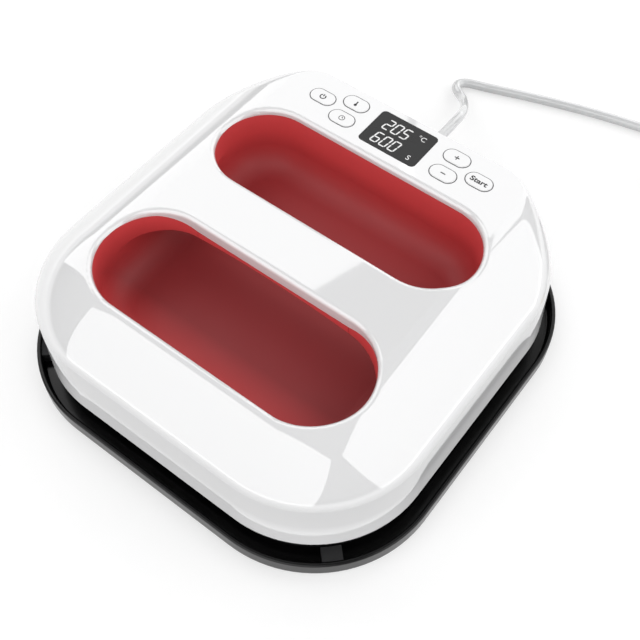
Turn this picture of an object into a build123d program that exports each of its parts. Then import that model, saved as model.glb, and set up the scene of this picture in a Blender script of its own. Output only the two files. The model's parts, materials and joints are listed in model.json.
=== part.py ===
from build123d import *
import math
import os

# Flat heat press on its safety tray. Millimetres, +Z up, origin on the table under the tray's centre.
# +X is to the right of someone who reads the display, +Y is towards the cord.

# Heating plate. Its side sets the width and depth of the whole press.
PLATE_SIDE = 230.0
PLATE_CORNER = 40.0
PLATE_THICKNESS = 8.0
PLATE_EDGE_ROUND = 1.5

# Top shell
SHELL_SIDE_MARGIN = 18.1
SHELL_END_MARGIN = 20.4
SHELL_CORNER = 74.3
SHELL_WALL = 2.6
SHELL_BOTTOM = 21.4
SHELL_TOP = 92.6
SHOULDER_HEIGHT = 64.1
SIDE_DRAFT = 0.9
BACK_LEAN = 4.7
BACK_ROUND = 7.9
TOP_CORNER = 18.7
ROUND_EXPONENT = 1.4
CROWN_STEPS = 8
RIM_ROUND_MOST = 3.0
RIM_TO_CROWN = 1 / 15
LIP_DEPTH = 4.5
BRIDGE_WALL_DEPTH = 9.0

# Recesses for the fingers, one each side of the bridge that is the grip
BRIDGE_REAR_Y = 13.3
BRIDGE_WIDTH = 39.4
RECESS_REACH = 93.4
RECESS_PAST_FLAT = 6.5
RECESS_PAST_FLAT_FRONT = 8.1
REAR_RECESS_RADIUS = 32.7
FRONT_RECESS_RADIUS = 35.6
RECESS_FLOOR = 44.6
RECESS_ROUND = 17.0
BRIDGE_INSET = 1.4
LIP_TAPER = 24.0
LINER_WALL = 2.2
LINER_LEDGE_GAP = 0.2
ARCH_RADIUS = 480.0
ARCH_CORNER = 6.0
UNDERSIDE_EDGE = 2.6
UNDERSIDE_SAG = 5.0
UNDERSIDE_WALL = 2.2
UNDERSIDE_GAP = 0.3

# Safety tray
TRAY_MARGIN = 8.9
TRAY_CORNER_MARGIN = 6.7
TRAY_FLOOR = 2.0
TRAY_WALL = 3.0
TRAY_RIM_HEIGHT = 11.5
TRAY_RIM_ROUND = 1.3
TRAY_INNER_ROUND = 1.5
FOOT_HEIGHT = 1.5
FOOT_RADIUS = 7.0
FOOT_INSET = 36.0
MAT_THICKNESS = 2.0
MAT_MARGIN = 3.0
LOCATOR_LENGTH = 12.0
LOCATOR_HEIGHT = 8.0
LOCATOR_GAP = 0.6
LOCATOR_REACH = 20.0

# Lower housing
HOUSING_INSET = 0.2
HOUSING_BOTTOM = 11.0
HOUSING_TOP = 30.0
HOUSING_WALL = 2.5
HOUSING_FLOOR = 2.5
PLATE_GAP = 1.0

# Element, insulation and shield on the heating plate
REST_GAP = 0.1
CLEARANCE = 0.3
ELEMENT_RADIUS = 3.25
ELEMENT_GAP = 0.05
ELEMENT_INSET = 30.0
ELEMENT_PITCH = 50.0
ELEMENT_FRONT_INSET = 27.0
ELEMENT_LEG_INSET = 37.0
ELEMENT_CROSS_INSET = 67.0
ELEMENT_BEND = 12.0
ELEMENT_LEG = 20.0
ELEMENT_LEG_HOLE = 13.0
ELEMENT_LEG_HOLE_SHIFT = 5.0
TERMINAL_RADIUS = 5.0
TERMINAL_HEIGHT = 7.0
TERMINAL_CAP = 2.0
TERMINAL_HOLE_GAP = 2.0
TAB_HEIGHT = 7.0
TAB_WIDTH = 6.3
TAB_THICKNESS = 0.8
MAT_OVER_ELEMENT = 0.3
INSULATION_THICKNESS = 5.8
INSULATION_INSET = 3.0
SHIELD_THICKNESS = 1.0
SHIELD_INSET = 0.5
SHIELD_EAR_WIDTH = 14.0
SHIELD_EAR_REACH = 4.5
STANDOFF_RADIUS = 4.0
STANDOFF_INSET = 19.0
STANDOFF_Y = 60.0
CUTOUT_Y = 66.0
CUTOUT_RADIUS = 8.0
CUTOUT_HEIGHT = 8.0
SENSOR_X = 48.0
SENSOR_Y = 20.0
SENSOR_RADIUS = 1.6
SENSOR_LENGTH = 14.0
CLIP_SHEET = 0.8
CLIP_FOOT = 5.0
CLIP_WIDTH = 6.0

# Screws, their bosses and pilot holes
SCREW_RADIUS = 1.75
SCREW_HEAD_RADIUS = 3.2
SCREW_HEAD_HEIGHT = 2.2
SCREW_HEAD_GAP = 0.1
SCREW_GAP = 0.05
SCREW_END_GAP = 0.5
BOSS_RADIUS = 3.6
BOSS_SPLIT = 27.0
SCREW_DEPTH = 12.0
COUNTERBORE_DEPTH = 3.0
SIDE_SCREW_INSET = 11.3
SIDE_SCREW_Y = 42.0
END_SCREW_X = 79.0
END_SCREW_INSET = 13.9
SHIELD_POST_END_INSET = 11.8
PLATE_PILOT_DEPTH = 5.0
SHIELD_PILOT_DEPTH = 7.0
BOARD_PILOT_DEPTH = 6.0
CLAMP_PILOT_DEPTH = 9.0
SMALL_SCREW_RADIUS = 1.25
SMALL_HEAD_RADIUS = 2.4
SMALL_HEAD_HEIGHT = 1.6
SMALL_BOSS_RADIUS = 3.0

# Control panel
PANEL_INSET = 32.8
DISPLAY_WIDTH = 42.4
DISPLAY_DEPTH = 30.4
DISPLAY_CORNER = 3.0
DISPLAY_OFFSET = 0.3
WINDOW_THICKNESS = 1.4
WINDOW_GAP = 0.15
WINDOW_LEDGE = 2.2
OPENING_CORNER = 2.0
MODULE_GAP = 0.2
BUTTON_LENGTH = 17.8
BUTTON_WIDTH = 10.9
BUTTON_GAP = 0.3
BUTTON_PROUD = 0.5
BUTTON_ROUND = 0.4
BUTTON_FLANGE = 1.2
BUTTON_FLANGE_THICKNESS = 1.2
BUTTON_STEM_RADIUS = 1.8
DISPLAY_TO_BUTTON = 8.5
BUTTON_SPACE = 3.3
BUTTON_ROW_SPACE = 5.1
FLANGE_GAP = 0.1
SWITCH_SIDE = 6.2
SWITCH_HEIGHT = 3.5
PLUNGER_RADIUS = 1.7
PLUNGER_HEIGHT = 1.2
PLUNGER_SEAT = 0.3
PLUNGER_GAP = 0.1
PLUNGER_WELL = 1.4
BOARD_THICKNESS = 1.6
BOARD_DROP = 12.6
BOARD_POST_MARGIN = 1.9
BOARD_POST_OFFSET = 12.0
BOARD_SIDE_MARGIN = 3.5
BOARD_END_MARGIN = 4.5

# Power electronics. Each size on the board is width, depth and height.
POWER_BOARD_HEIGHT = 37.6
POWER_BOARD_WIDTH = 118.0
POWER_BOARD_DEPTH = 30.0
POWER_BOARD_SPACE = 3.6
SPACER_SIDE_INSET = 5.0
SPACER_END_INSET = 4.5
SPACER_PIN = 1.5
TERMINAL_BLOCK_SIZE = (26.0, 10.0, 15.0)
TERMINAL_BLOCK_END_INSET = 1.5
RELAY_INSET = 16.0
RELAY_SHIFT = -4.5
RELAY_SIZE = (15.0, 19.0, 15.5)
FUSE_SHIFT = 10.0
FUSE_RADIUS = 2.6
FUSE_LENGTH = 18.0
FUSE_HEIGHT = 4.0
FUSE_CLIP_X = 7.0
FUSE_CLIP_SIZE = (4.0, 7.0, 7.0)
HEAT_SINK_INSET = 37.0
HEAT_SINK_SHIFT = -6.0
HEAT_SINK_SIZE = (22.0, 3.0, 24.0)
FIN_COUNT = 5
FIN_THICKNESS = 1.5
FIN_DEPTH = 6.0
CAPACITOR_XS = (0.0, 10.0)
CAPACITOR_SHIFT = -7.0
CAPACITOR_RADIUS = 4.0
CAPACITOR_HEIGHT = 14.0
RIBBON_X = 17.5
RIBBON_SHIFT = -11.0
RIBBON_THICKNESS = 1.0
RIBBON_WIDTH = 6.0
TRANSFORMER_INSET = 27.0
TRANSFORMER_CORE = (22.0, 19.0, 15.0)
TRANSFORMER_BOBBIN = (14.0, 25.0, 12.0)
BUZZER_INSET = 9.0
BUZZER_RADIUS = 5.0
BUZZER_HEIGHT = 8.0
HEATER_LEAD_RADIUS = 1.25
HEATER_LEAD_BEND = 4.0
HEATER_LEAD_RISE = 9.0
HEATER_LEAD_INSET = 2.5
SENSOR_LEAD_RADIUS = 1.0
SENSOR_LEAD_RUN = 6.0
SENSOR_LEAD_BEND = 2.5
SENSOR_LEAD_HEIGHT = 4.0
SENSOR_LEAD_HOLE = 3.0

# Cord
CORD_RADIUS = 3.5
CORD_EXIT_HEIGHT = 47.5
CORD_ON_TABLE = 3.6
CORD_START_Y = 161.0
ARC_SHARE = 0.45
CORD_BORE_GAP = 0.05
INNER_LEAD_END_Y = 140.0
RELIEF_ROOT_RADIUS = 7.0
RELIEF_TIP_RADIUS = 4.9
RELIEF_FLANGE_RADIUS = 9.0
RELIEF_FLANGE_THICKNESS = 2.0
RELIEF_NECK_RADIUS = 6.0
RELIEF_GAP = 0.2
CLAMP_WIDTH = 24.0
CLAMP_DEPTH = 7.0
CLAMP_HEIGHT = 8.0
CLAMP_INSET = 14.4
CLAMP_SPLIT_GAP = 0.6
CLAMP_SCREW_X = 8.5
COIL_RADIUS = 46.0
COIL_LIFT = 4.4
COIL_STEP = 7.6
COIL_HALF_TURNS = 4
GAP_POINTS = 900
TAIL_LENGTH = 30.0
TIE_THICKNESS = 0.8
TIE_WIDTH = 10.0
TIE_GAP = 0.3
TIE_LIFT = 0.05
TIE_CORNER = 3.0

# Plug
PLUG_WIDTH = 26.0
PLUG_HEIGHT = 24.0
PLUG_LENGTH = 34.0
PLUG_CORNER = 6.0
PLUG_REAR_ROUND = 3.0
PLUG_BOOT_LENGTH = 16.0
PLUG_BOOT_RADIUS = 6.5
PLUG_BOOT_TIP = 4.6
BLADE_SPACING = 12.7
BLADE_HEIGHT = 6.3
BLADE_THICKNESS = 1.5
BLADE_LENGTH = 17.5
GROUND_RADIUS = 2.4
GROUND_LENGTH = 21.0
GROUND_DROP = 11.9
PIN_OFFSET = 5.6
PIN_ROOT = 8.0

# How far a cut runs past the face that it opens
OVER = 1.0

# Widths, depths and places that follow from the sizes above
SHELL_WIDTH = PLATE_SIDE + 2 * SHELL_SIDE_MARGIN
SHELL_DEPTH = PLATE_SIDE + 2 * SHELL_END_MARGIN
TRAY_WIDTH = SHELL_WIDTH + 2 * TRAY_MARGIN
TRAY_DEPTH = SHELL_DEPTH + 2 * TRAY_MARGIN
TRAY_CORNER = SHELL_CORNER + TRAY_CORNER_MARGIN
BRIDGE_FRONT_Y = BRIDGE_REAR_Y - BRIDGE_WIDTH
REAR_RECESS_Y = BRIDGE_REAR_Y + REAR_RECESS_RADIUS
FRONT_RECESS_Y = BRIDGE_FRONT_Y - FRONT_RECESS_RADIUS
REAR_RECESS_HALF = RECESS_REACH - REAR_RECESS_RADIUS
FRONT_RECESS_HALF = RECESS_REACH - FRONT_RECESS_RADIUS
BRIDGE_HALF = min(FRONT_RECESS_HALF, REAR_RECESS_HALF) - BRIDGE_INSET
RECESS_FRONT_Y = FRONT_RECESS_Y - FRONT_RECESS_RADIUS
FLAT_HALF_WIDTH = RECESS_REACH - RECESS_PAST_FLAT
FLAT_FRONT_Y = RECESS_FRONT_Y + RECESS_PAST_FLAT_FRONT
SIDE_ROUND = SHELL_WIDTH / 2 - SIDE_DRAFT - FLAT_HALF_WIDTH
FRONT_ROUND = SHELL_DEPTH / 2 - SIDE_DRAFT + FLAT_FRONT_Y
RIM_ROUND = min(RIM_ROUND_MOST, SIDE_ROUND * RIM_TO_CROWN)
ELEMENT_X = PLATE_SIDE / 2 - ELEMENT_INSET
ELEMENT_INNER_X = ELEMENT_X - ELEMENT_PITCH
ELEMENT_FRONT_Y = ELEMENT_FRONT_INSET - PLATE_SIDE / 2
ELEMENT_LEG_Y = PLATE_SIDE / 2 - ELEMENT_LEG_INSET
ELEMENT_CROSS_Y = PLATE_SIDE / 2 - ELEMENT_CROSS_INSET
INSULATION_SIDE = PLATE_SIDE - 2 * INSULATION_INSET
SHIELD_SIDE = PLATE_SIDE - 2 * SHIELD_INSET
STANDOFF_X = PLATE_SIDE / 2 - STANDOFF_INSET
SENSOR_LEAD_Y = SENSOR_Y + SENSOR_LENGTH / 2 + SENSOR_LEAD_RUN
SIDE_SCREW_X = SHELL_WIDTH / 2 - SIDE_SCREW_INSET
END_SCREW_Y = SHELL_DEPTH / 2 - END_SCREW_INSET
SHIELD_POST_Y = SHELL_DEPTH / 2 - SHIELD_POST_END_INSET
PANEL_Y = SHELL_DEPTH / 2 - PANEL_INSET
DISPLAY_Y = PANEL_Y - DISPLAY_OFFSET
BUTTON_NEAR_X = DISPLAY_WIDTH / 2 + DISPLAY_TO_BUTTON + BUTTON_LENGTH / 2
BUTTON_FAR_X = BUTTON_NEAR_X + BUTTON_LENGTH + BUTTON_SPACE
BUTTON_ROW_OFFSET = (BUTTON_WIDTH + BUTTON_ROW_SPACE) / 2
BOARD_POST_X = BUTTON_FAR_X + BUTTON_LENGTH / 2 + BOARD_POST_MARGIN
BOARD_WIDTH = 2 * (BOARD_POST_X + BOARD_SIDE_MARGIN)
BOARD_DEPTH = 2 * (BOARD_POST_OFFSET + BOARD_END_MARGIN)
LINER_REAR_Y = REAR_RECESS_Y + REAR_RECESS_RADIUS + LINER_WALL
POWER_BOARD_Y = LINER_REAR_Y + POWER_BOARD_SPACE + POWER_BOARD_DEPTH / 2
RELAY_X = RELAY_INSET - POWER_BOARD_WIDTH / 2
HEAT_SINK_X = HEAT_SINK_INSET - POWER_BOARD_WIDTH / 2
TRANSFORMER_X = POWER_BOARD_WIDTH / 2 - TRANSFORMER_INSET
BUZZER_X = POWER_BOARD_WIDTH / 2 - BUZZER_INSET
TERMINAL_BLOCK_REAR = POWER_BOARD_Y + POWER_BOARD_DEPTH / 2 - TERMINAL_BLOCK_END_INSET
CLAMP_Y = SHELL_DEPTH / 2 - CLAMP_INSET

# Heights that follow from the sizes above
TRAY_FLOOR_TOP = FOOT_HEIGHT + TRAY_FLOOR
TRAY_RIM_TOP = FOOT_HEIGHT + TRAY_RIM_HEIGHT
MAT_TOP = TRAY_FLOOR_TOP + MAT_THICKNESS
PLATE_BOTTOM = MAT_TOP + REST_GAP
PLATE_TOP = PLATE_BOTTOM + PLATE_THICKNESS
HOUSING_FLOOR_TOP = HOUSING_BOTTOM + HOUSING_FLOOR
INSULATION_BOTTOM = PLATE_TOP + ELEMENT_RADIUS + MAT_OVER_ELEMENT
INSULATION_TOP = INSULATION_BOTTOM + INSULATION_THICKNESS
SHIELD_BOTTOM = INSULATION_TOP
SHIELD_TOP = SHIELD_BOTTOM + SHIELD_THICKNESS
SHELL_CEILING = SHELL_TOP - SHELL_WALL
LIP_BOTTOM = SHELL_TOP - LIP_DEPTH
BRIDGE_WALL_BOTTOM = SHELL_TOP - BRIDGE_WALL_DEPTH
ARCH_TOP = BRIDGE_WALL_BOTTOM - UNDERSIDE_EDGE
LINER_TOP = LIP_BOTTOM - LINER_LEDGE_GAP
BOARD_TOP = SHELL_TOP - BOARD_DROP
BOARD_BOTTOM = BOARD_TOP - BOARD_THICKNESS
POWER_BOARD_TOP = POWER_BOARD_HEIGHT
POWER_BOARD_BOTTOM = POWER_BOARD_TOP - BOARD_THICKNESS
FLANGE_TOP = SHELL_CEILING - FLANGE_GAP
SWITCH_TOP = BOARD_TOP + SWITCH_HEIGHT
PLUNGER_TOP = SWITCH_TOP + PLUNGER_HEIGHT
COIL_TOP = COIL_LIFT + COIL_STEP

BUTTONS = {
    "power": (-BUTTON_FAR_X, PANEL_Y),
    "temperature": (-BUTTON_NEAR_X, PANEL_Y + BUTTON_ROW_OFFSET),
    "timer": (-BUTTON_NEAR_X, PANEL_Y - BUTTON_ROW_OFFSET),
    "plus": (BUTTON_NEAR_X, PANEL_Y + BUTTON_ROW_OFFSET),
    "minus": (BUTTON_NEAR_X, PANEL_Y - BUTTON_ROW_OFFSET),
    "start": (BUTTON_FAR_X, PANEL_Y),
}
HOUSING_SCREW_PLACES = [
    (side * x, end * y)
    for side in (-1, 1)
    for end in (-1, 1)
    for x, y in ((SIDE_SCREW_X, SIDE_SCREW_Y), (END_SCREW_X, END_SCREW_Y))
]
SHIELD_POST_PLACES = [(SIDE_SCREW_X, 0), (-SIDE_SCREW_X, 0), (0, -SHIELD_POST_Y)]
STANDOFF_PLACES = [(x, y) for x in (-STANDOFF_X, STANDOFF_X) for y in (-STANDOFF_Y, STANDOFF_Y)]
BOARD_POST_PLACES = [
    (side * BOARD_POST_X, DISPLAY_Y + end * BOARD_POST_OFFSET) for side in (-1, 1) for end in (-1, 1)
]
SPACER_PLACES = [
    (
        side * (POWER_BOARD_WIDTH / 2 - SPACER_SIDE_INSET),
        POWER_BOARD_Y + end * (POWER_BOARD_DEPTH / 2 - SPACER_END_INSET),
    )
    for side in (-1, 1)
    for end in (-1, 1)
]

# The cord's route from the strain relief to the coil: out of the back, down to the table, round the
# tight bend and away to the right.
CORD_ROUTE = [
    (0, CORD_START_Y, CORD_EXIT_HEIGHT),
    (0, 182, CORD_EXIT_HEIGHT),
    (-7, 197, 38),
    (-16, 219, 20.5),
    (-25, 236, 9),
    (-40, 248, 4.6),
    (-38, 258, CORD_ON_TABLE),
    (-19, 264, CORD_ON_TABLE),
    (9, 275.5, CORD_ON_TABLE),
    (49, 287, CORD_ON_TABLE),
    (76, 293.6, CORD_ON_TABLE),
    (104, 300, CORD_ON_TABLE),
    (132, 306, COIL_LIFT),
    (160, 312.2, COIL_LIFT),
]


def slab(width, depth, corner, low, high, centre_y=0.0):
    """A flat block with rounded upright corners."""
    return Pos(0, centre_y, low) * extrude(RectangleRounded(width, depth, corner), high - low)


def block(x, y, width, depth, low, high):
    """A plain upright block with its centre over x, y."""
    return Pos(x, y, (low + high) / 2) * Box(width, depth, high - low)


def post(x, y, radius, low, high):
    """An upright cylinder."""
    return Pos(x, y, (low + high) / 2) * Cylinder(radius, high - low)


def stadium(x, y, half_length, radius, low, high):
    """An upright prism with two round ends."""
    outline = SlotOverall(2 * (half_length + radius), 2 * radius)
    return Pos(x, y, low) * extrude(outline, high - low)


def fused(shapes):
    """One shape from several that touch."""
    shapes = list(shapes)
    result = shapes[0]
    for shape in shapes[1:]:
        result = result + shape
    return result


def less(shape, tools):
    """A shape with each of the tools cut from it."""
    for tool in tools:
        shape = shape - tool
    return shape


def group(shapes):
    """Separate solids that share one node."""
    return Compound(children=list(shapes))


def lowest_edges(shape):
    return shape.edges().group_by(Axis.Z)[0]


def highest_edges(shape):
    return shape.edges().group_by(Axis.Z)[-1]


# Safety tray


def make_safety_tray():
    outside = slab(TRAY_WIDTH, TRAY_DEPTH, TRAY_CORNER, FOOT_HEIGHT, TRAY_RIM_TOP)
    outside = fillet(lowest_edges(outside), TRAY_RIM_ROUND)
    inside = fillet(lowest_edges(tray_well(TRAY_FLOOR_TOP, TRAY_RIM_TOP + TRAY_WALL)), TRAY_INNER_ROUND)
    tray = outside - inside
    return fillet(highest_edges(tray), TRAY_RIM_ROUND)


def make_tray_mat():
    side = PLATE_SIDE + 2 * MAT_MARGIN
    return slab(side, side, PLATE_CORNER + MAT_MARGIN, TRAY_FLOOR_TOP, MAT_TOP)


def tray_well(low, high):
    """The space inside the tray's rim, between two heights."""
    width = TRAY_WIDTH - 2 * TRAY_WALL
    depth = TRAY_DEPTH - 2 * TRAY_WALL
    return slab(width, depth, TRAY_CORNER - TRAY_WALL, low, high)


def make_corner_locators():
    """Rubber blocks in the channel between the rim and the press, one at each corner."""
    well = fillet(lowest_edges(tray_well(TRAY_FLOOR_TOP, TRAY_RIM_TOP)), TRAY_INNER_ROUND)
    press_inset = SHELL_WALL + HOUSING_INSET - LOCATOR_GAP
    press = slab(
        SHELL_WIDTH - 2 * press_inset, SHELL_DEPTH - 2 * press_inset, SHELL_CORNER - press_inset,
        FOOT_HEIGHT, TRAY_RIM_TOP,
    )
    rim_radius = TRAY_CORNER - TRAY_WALL
    pieces = []
    for side, end in ((1, 1), (-1, 1), (-1, -1), (1, -1)):
        angle = math.degrees(math.atan2(end, side))
        corner = Pos(side * (TRAY_WIDTH / 2 - TRAY_CORNER), end * (TRAY_DEPTH / 2 - TRAY_CORNER), 0)
        top = TRAY_FLOOR_TOP + LOCATOR_HEIGHT
        bar = block(rim_radius, 0, 2 * LOCATOR_REACH, LOCATOR_LENGTH, TRAY_FLOOR_TOP, top)
        pieces.append((corner * Rot(0, 0, angle) * bar & well) - press)
    return group(pieces)


def foot_places():
    x = TRAY_WIDTH / 2 - FOOT_INSET
    y = TRAY_DEPTH / 2 - FOOT_INSET
    return [(side * x, end * y) for side in (-1, 1) for end in (-1, 1)]


def make_rubber_feet():
    return group(post(x, y, FOOT_RADIUS, 0, FOOT_HEIGHT) for x, y in foot_places())


# Shell form, shared by the top shell, the lower housing and what passes through their walls


def shell_section(height, side_inset, front_inset, back_inset, corner, grow):
    """One level outline of the shell, each side inset on its own, so the outline shifts along Y."""
    half_width = SHELL_WIDTH / 2 - side_inset + grow
    front = SHELL_DEPTH / 2 - front_inset + grow
    back = SHELL_DEPTH / 2 - back_inset + grow
    outline = RectangleRounded(2 * half_width, front + back, corner + grow)
    return Pos(0, (back - front) / 2, height) * outline


def wall_section(height, grow):
    """The outline in the lower part of the side. Below the shell's bottom edge it stays the same."""
    share = max(0.0, (height - SHELL_BOTTOM) / (SHOULDER_HEIGHT - SHELL_BOTTOM))
    side_inset = SIDE_DRAFT * share
    back_inset = (SIDE_DRAFT + BACK_LEAN) * share
    return shell_section(height, side_inset, side_inset, back_inset, SHELL_CORNER - side_inset, grow)


def shell_body(grow, bottom):
    """The shell's outer form, moved outwards by grow, from the bottom height to the crown."""
    top = SHELL_TOP + grow
    sides = loft([wall_section(bottom, grow), wall_section(SHOULDER_HEIGHT, grow)], ruled=True)
    shoulder_corner = SHELL_CORNER - SIDE_DRAFT
    sections = []
    for step in range(CROWN_STEPS + 1):
        turn = math.pi / 2 * step / CROWN_STEPS
        rise = math.sin(turn) ** (2 / ROUND_EXPONENT)
        inwards = 1 - abs(math.cos(turn)) ** (2 / ROUND_EXPONENT)
        sections.append(
            shell_section(
                SHOULDER_HEIGHT + (top - SHOULDER_HEIGHT) * rise,
                SIDE_DRAFT + SIDE_ROUND * inwards,
                SIDE_DRAFT + FRONT_ROUND * inwards,
                SIDE_DRAFT + BACK_LEAN + BACK_ROUND * inwards,
                shoulder_corner - (shoulder_corner - TOP_CORNER) * inwards,
                grow,
            )
        )
    return sides + loft(sections)


def recess_prisms(grow, low, high):
    """The two finger recesses as upright prisms, rear first."""
    return [
        stadium(0, REAR_RECESS_Y, REAR_RECESS_HALF, REAR_RECESS_RADIUS + grow, low, high),
        stadium(0, FRONT_RECESS_Y, FRONT_RECESS_HALF, FRONT_RECESS_RADIUS + grow, low, high),
    ]


def recess_rim_edges(shape):
    """The edges round the mouths of the two recesses on the shell's top."""
    top_edges = [edge for edge in shape.edges() if edge.bounding_box().min.Z > LIP_BOTTOM]
    limit_x = RECESS_REACH + OVER
    rear = (REAR_RECESS_Y, REAR_RECESS_RADIUS + OVER)
    front = (FRONT_RECESS_Y, FRONT_RECESS_RADIUS + OVER)
    chosen = []
    for edge in top_edges:
        middle = edge @ 0.5
        in_rear = abs(middle.Y - rear[0]) < rear[1]
        in_front = abs(middle.Y - front[0]) < front[1]
        if (in_rear or in_front) and abs(middle.X) < limit_x:
            chosen.append(edge)
    return chosen


def bridge_form(drop):
    """What the bridge's walls reach down to, as a block along Y whose underside rises towards the ends of
    the recesses and lies lower by drop."""
    taper_end = BRIDGE_HALF + LIP_TAPER
    with BuildSketch(Plane.XZ) as profile:
        with BuildLine():
            Polyline(
                (-taper_end, LIP_BOTTOM - drop), (-BRIDGE_HALF, BRIDGE_WALL_BOTTOM - drop),
                (BRIDGE_HALF, BRIDGE_WALL_BOTTOM - drop), (taper_end, LIP_BOTTOM - drop),
                (taper_end, SHELL_TOP), (-taper_end, SHELL_TOP), (-taper_end, LIP_BOTTOM - drop),
            )
        make_face()
    return Pos(0, REAR_RECESS_Y, 0) * extrude(profile.sketch, REAR_RECESS_Y - FRONT_RECESS_Y)


def bridge_walls():
    """The two upright walls of the bridge and how they run out round the ends of the recesses."""
    form = bridge_form(0)
    return [prism & form for prism in recess_prisms(SHELL_WALL, BRIDGE_WALL_BOTTOM - OVER, SHELL_TOP)]


def button_hole(x, y):
    radius = BUTTON_WIDTH / 2 + BUTTON_GAP
    half = BUTTON_LENGTH / 2 - BUTTON_WIDTH / 2
    return stadium(x, y, half, radius, BOARD_TOP, SHELL_TOP + SHELL_WALL)


def cord_axis_cylinder(radius, start_y, end_y):
    """A level cylinder along Y on the cord's line through the back wall."""
    middle = (start_y + end_y) / 2
    return Pos(0, middle, CORD_EXIT_HEIGHT) * Rot(90, 0, 0) * Cylinder(radius, abs(end_y - start_y))


def make_top_shell(outer, inner):
    outer = less(outer, recess_prisms(0, 0, 2 * SHELL_TOP))
    outer = fillet(recess_rim_edges(outer), RIM_ROUND)
    collars = recess_prisms(SHELL_WALL, LIP_BOTTOM, SHELL_TOP)
    bosses = [post(x, y, BOSS_RADIUS, BOSS_SPLIT, SHELL_TOP) for x, y in HOUSING_SCREW_PLACES]
    board_posts = [post(x, y, SMALL_BOSS_RADIUS, BOARD_TOP, SHELL_TOP) for x, y in BOARD_POST_PLACES]
    hollow = less(inner, collars + bridge_walls() + bosses + board_posts)
    shell = outer - hollow
    window = slab(
        DISPLAY_WIDTH + 2 * WINDOW_GAP, DISPLAY_DEPTH + 2 * WINDOW_GAP, DISPLAY_CORNER + WINDOW_GAP,
        SHELL_TOP - WINDOW_THICKNESS, SHELL_TOP + SHELL_WALL, DISPLAY_Y,
    )
    opening = slab(
        DISPLAY_WIDTH - 2 * WINDOW_LEDGE, DISPLAY_DEPTH - 2 * WINDOW_LEDGE, OPENING_CORNER,
        SHELL_CEILING - SHELL_WALL, SHELL_TOP, DISPLAY_Y,
    )
    holes = [button_hole(x, y) for x, y in BUTTONS.values()]
    pilots = [
        post(x, y, SCREW_RADIUS + SCREW_GAP, BOSS_SPLIT - OVER, BOSS_SPLIT + SCREW_DEPTH)
        for x, y in HOUSING_SCREW_PLACES
    ]
    small_pilots = [
        post(x, y, SMALL_SCREW_RADIUS + SCREW_GAP, BOARD_TOP - OVER, BOARD_TOP + BOARD_PILOT_DEPTH)
        for x, y in BOARD_POST_PLACES
    ]
    wall_y = outer_wall_y(CORD_EXIT_HEIGHT)
    hole_radius = RELIEF_NECK_RADIUS + RELIEF_GAP
    cord_hole = cord_axis_cylinder(hole_radius, wall_y - 2 * SHELL_WALL, wall_y + 2 * SHELL_WALL)
    return less(shell, [window, opening, cord_hole] + holes + pilots + small_pilots)


# Grip liner


def grip_bowl(grow):
    """The one bowl that both recesses open into, with a rounded bottom, larger all round by grow."""
    low = RECESS_FLOOR - grow
    middle = block(
        0, (REAR_RECESS_Y + FRONT_RECESS_Y) / 2, 2 * (RECESS_REACH + grow), REAR_RECESS_Y - FRONT_RECESS_Y,
        low, SHELL_TOP,
    )
    bowl = fused([middle] + recess_prisms(grow, low, SHELL_TOP))
    return fillet(lowest_edges(bowl), RECESS_ROUND + grow)


def arch_height(x):
    """How high the way under the bridge is at x."""
    return ARCH_TOP - ARCH_RADIUS + math.sqrt(ARCH_RADIUS**2 - x**2)


def tunnel_form(grow):
    """The way under the bridge from one recess to the other: an arch along Y, larger by grow."""
    half = RECESS_REACH + grow
    side = arch_height(RECESS_REACH) + grow
    with BuildSketch(Plane.XZ) as profile:
        with BuildLine():
            Polyline((-half, side), (-half, 0), (half, 0), (half, side))
            ThreePointArc((half, side), (0, ARCH_TOP + grow), (-half, side))
        make_face()
    form = Pos(0, REAR_RECESS_Y, 0) * extrude(profile.sketch, REAR_RECESS_Y - FRONT_RECESS_Y)
    corners = []
    for edge in form.edges():
        middle = edge @ 0.5
        if abs(middle.Z - side) < OVER and abs(middle.X) > half - OVER:
            corners.append(edge)
    return fillet(corners, ARCH_CORNER + grow)


def grip_space(grow):
    """The bowl, open upwards only in the recesses and arched over between them."""
    ways = [tunnel_form(grow)] + recess_prisms(grow, 0, SHELL_TOP)
    return grip_bowl(grow) & fused(ways)


def make_grip_liner(room):
    """The red tub, kept inside the room under the shell."""
    liner = (grip_space(LINER_WALL) - grip_space(0)) & room
    above = block(0, 0, 2 * SHELL_WIDTH, 2 * SHELL_DEPTH, LINER_TOP, 2 * SHELL_TOP)
    bridge_room = block(
        0, (BRIDGE_REAR_Y + BRIDGE_FRONT_Y) / 2, 2 * BRIDGE_HALF, BRIDGE_WIDTH,
        arch_height(BRIDGE_HALF) - OVER, SHELL_TOP,
    )
    return less(liner, [above, bridge_room, bridge_form(LINER_LEDGE_GAP)])


def underside_bar(wall):
    """The arched bar under the bridge, crowned downwards across its width, or its inside within a wall."""
    front = BRIDGE_FRONT_Y + wall
    rear = BRIDGE_REAR_Y - wall
    edge = ARCH_TOP + wall
    top = SHELL_TOP + wall
    half = BRIDGE_HALF - UNDERSIDE_GAP - wall
    with BuildSketch(Plane.YZ) as profile:
        with BuildLine():
            Polyline((rear, edge), (rear, top), (front, top), (front, edge))
            ThreePointArc((front, edge), ((front + rear) / 2, edge - UNDERSIDE_SAG), (rear, edge))
        make_face()
    turn = math.degrees(math.asin((half + UNDERSIDE_SAG) / ARCH_RADIUS))
    axis = Axis((0, 0, ARCH_TOP - ARCH_RADIUS), (0, 1, 0))
    bar = revolve(profile.sketch, axis, 2 * turn).rotate(axis, -turn)
    return bar & block(0, 0, 2 * half, SHELL_DEPTH, RECESS_FLOOR, BRIDGE_WALL_BOTTOM - UNDERSIDE_GAP)


def make_grip_underside():
    """The red strip that closes the bridge from below."""
    return underside_bar(0) - underside_bar(UNDERSIDE_WALL)


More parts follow.
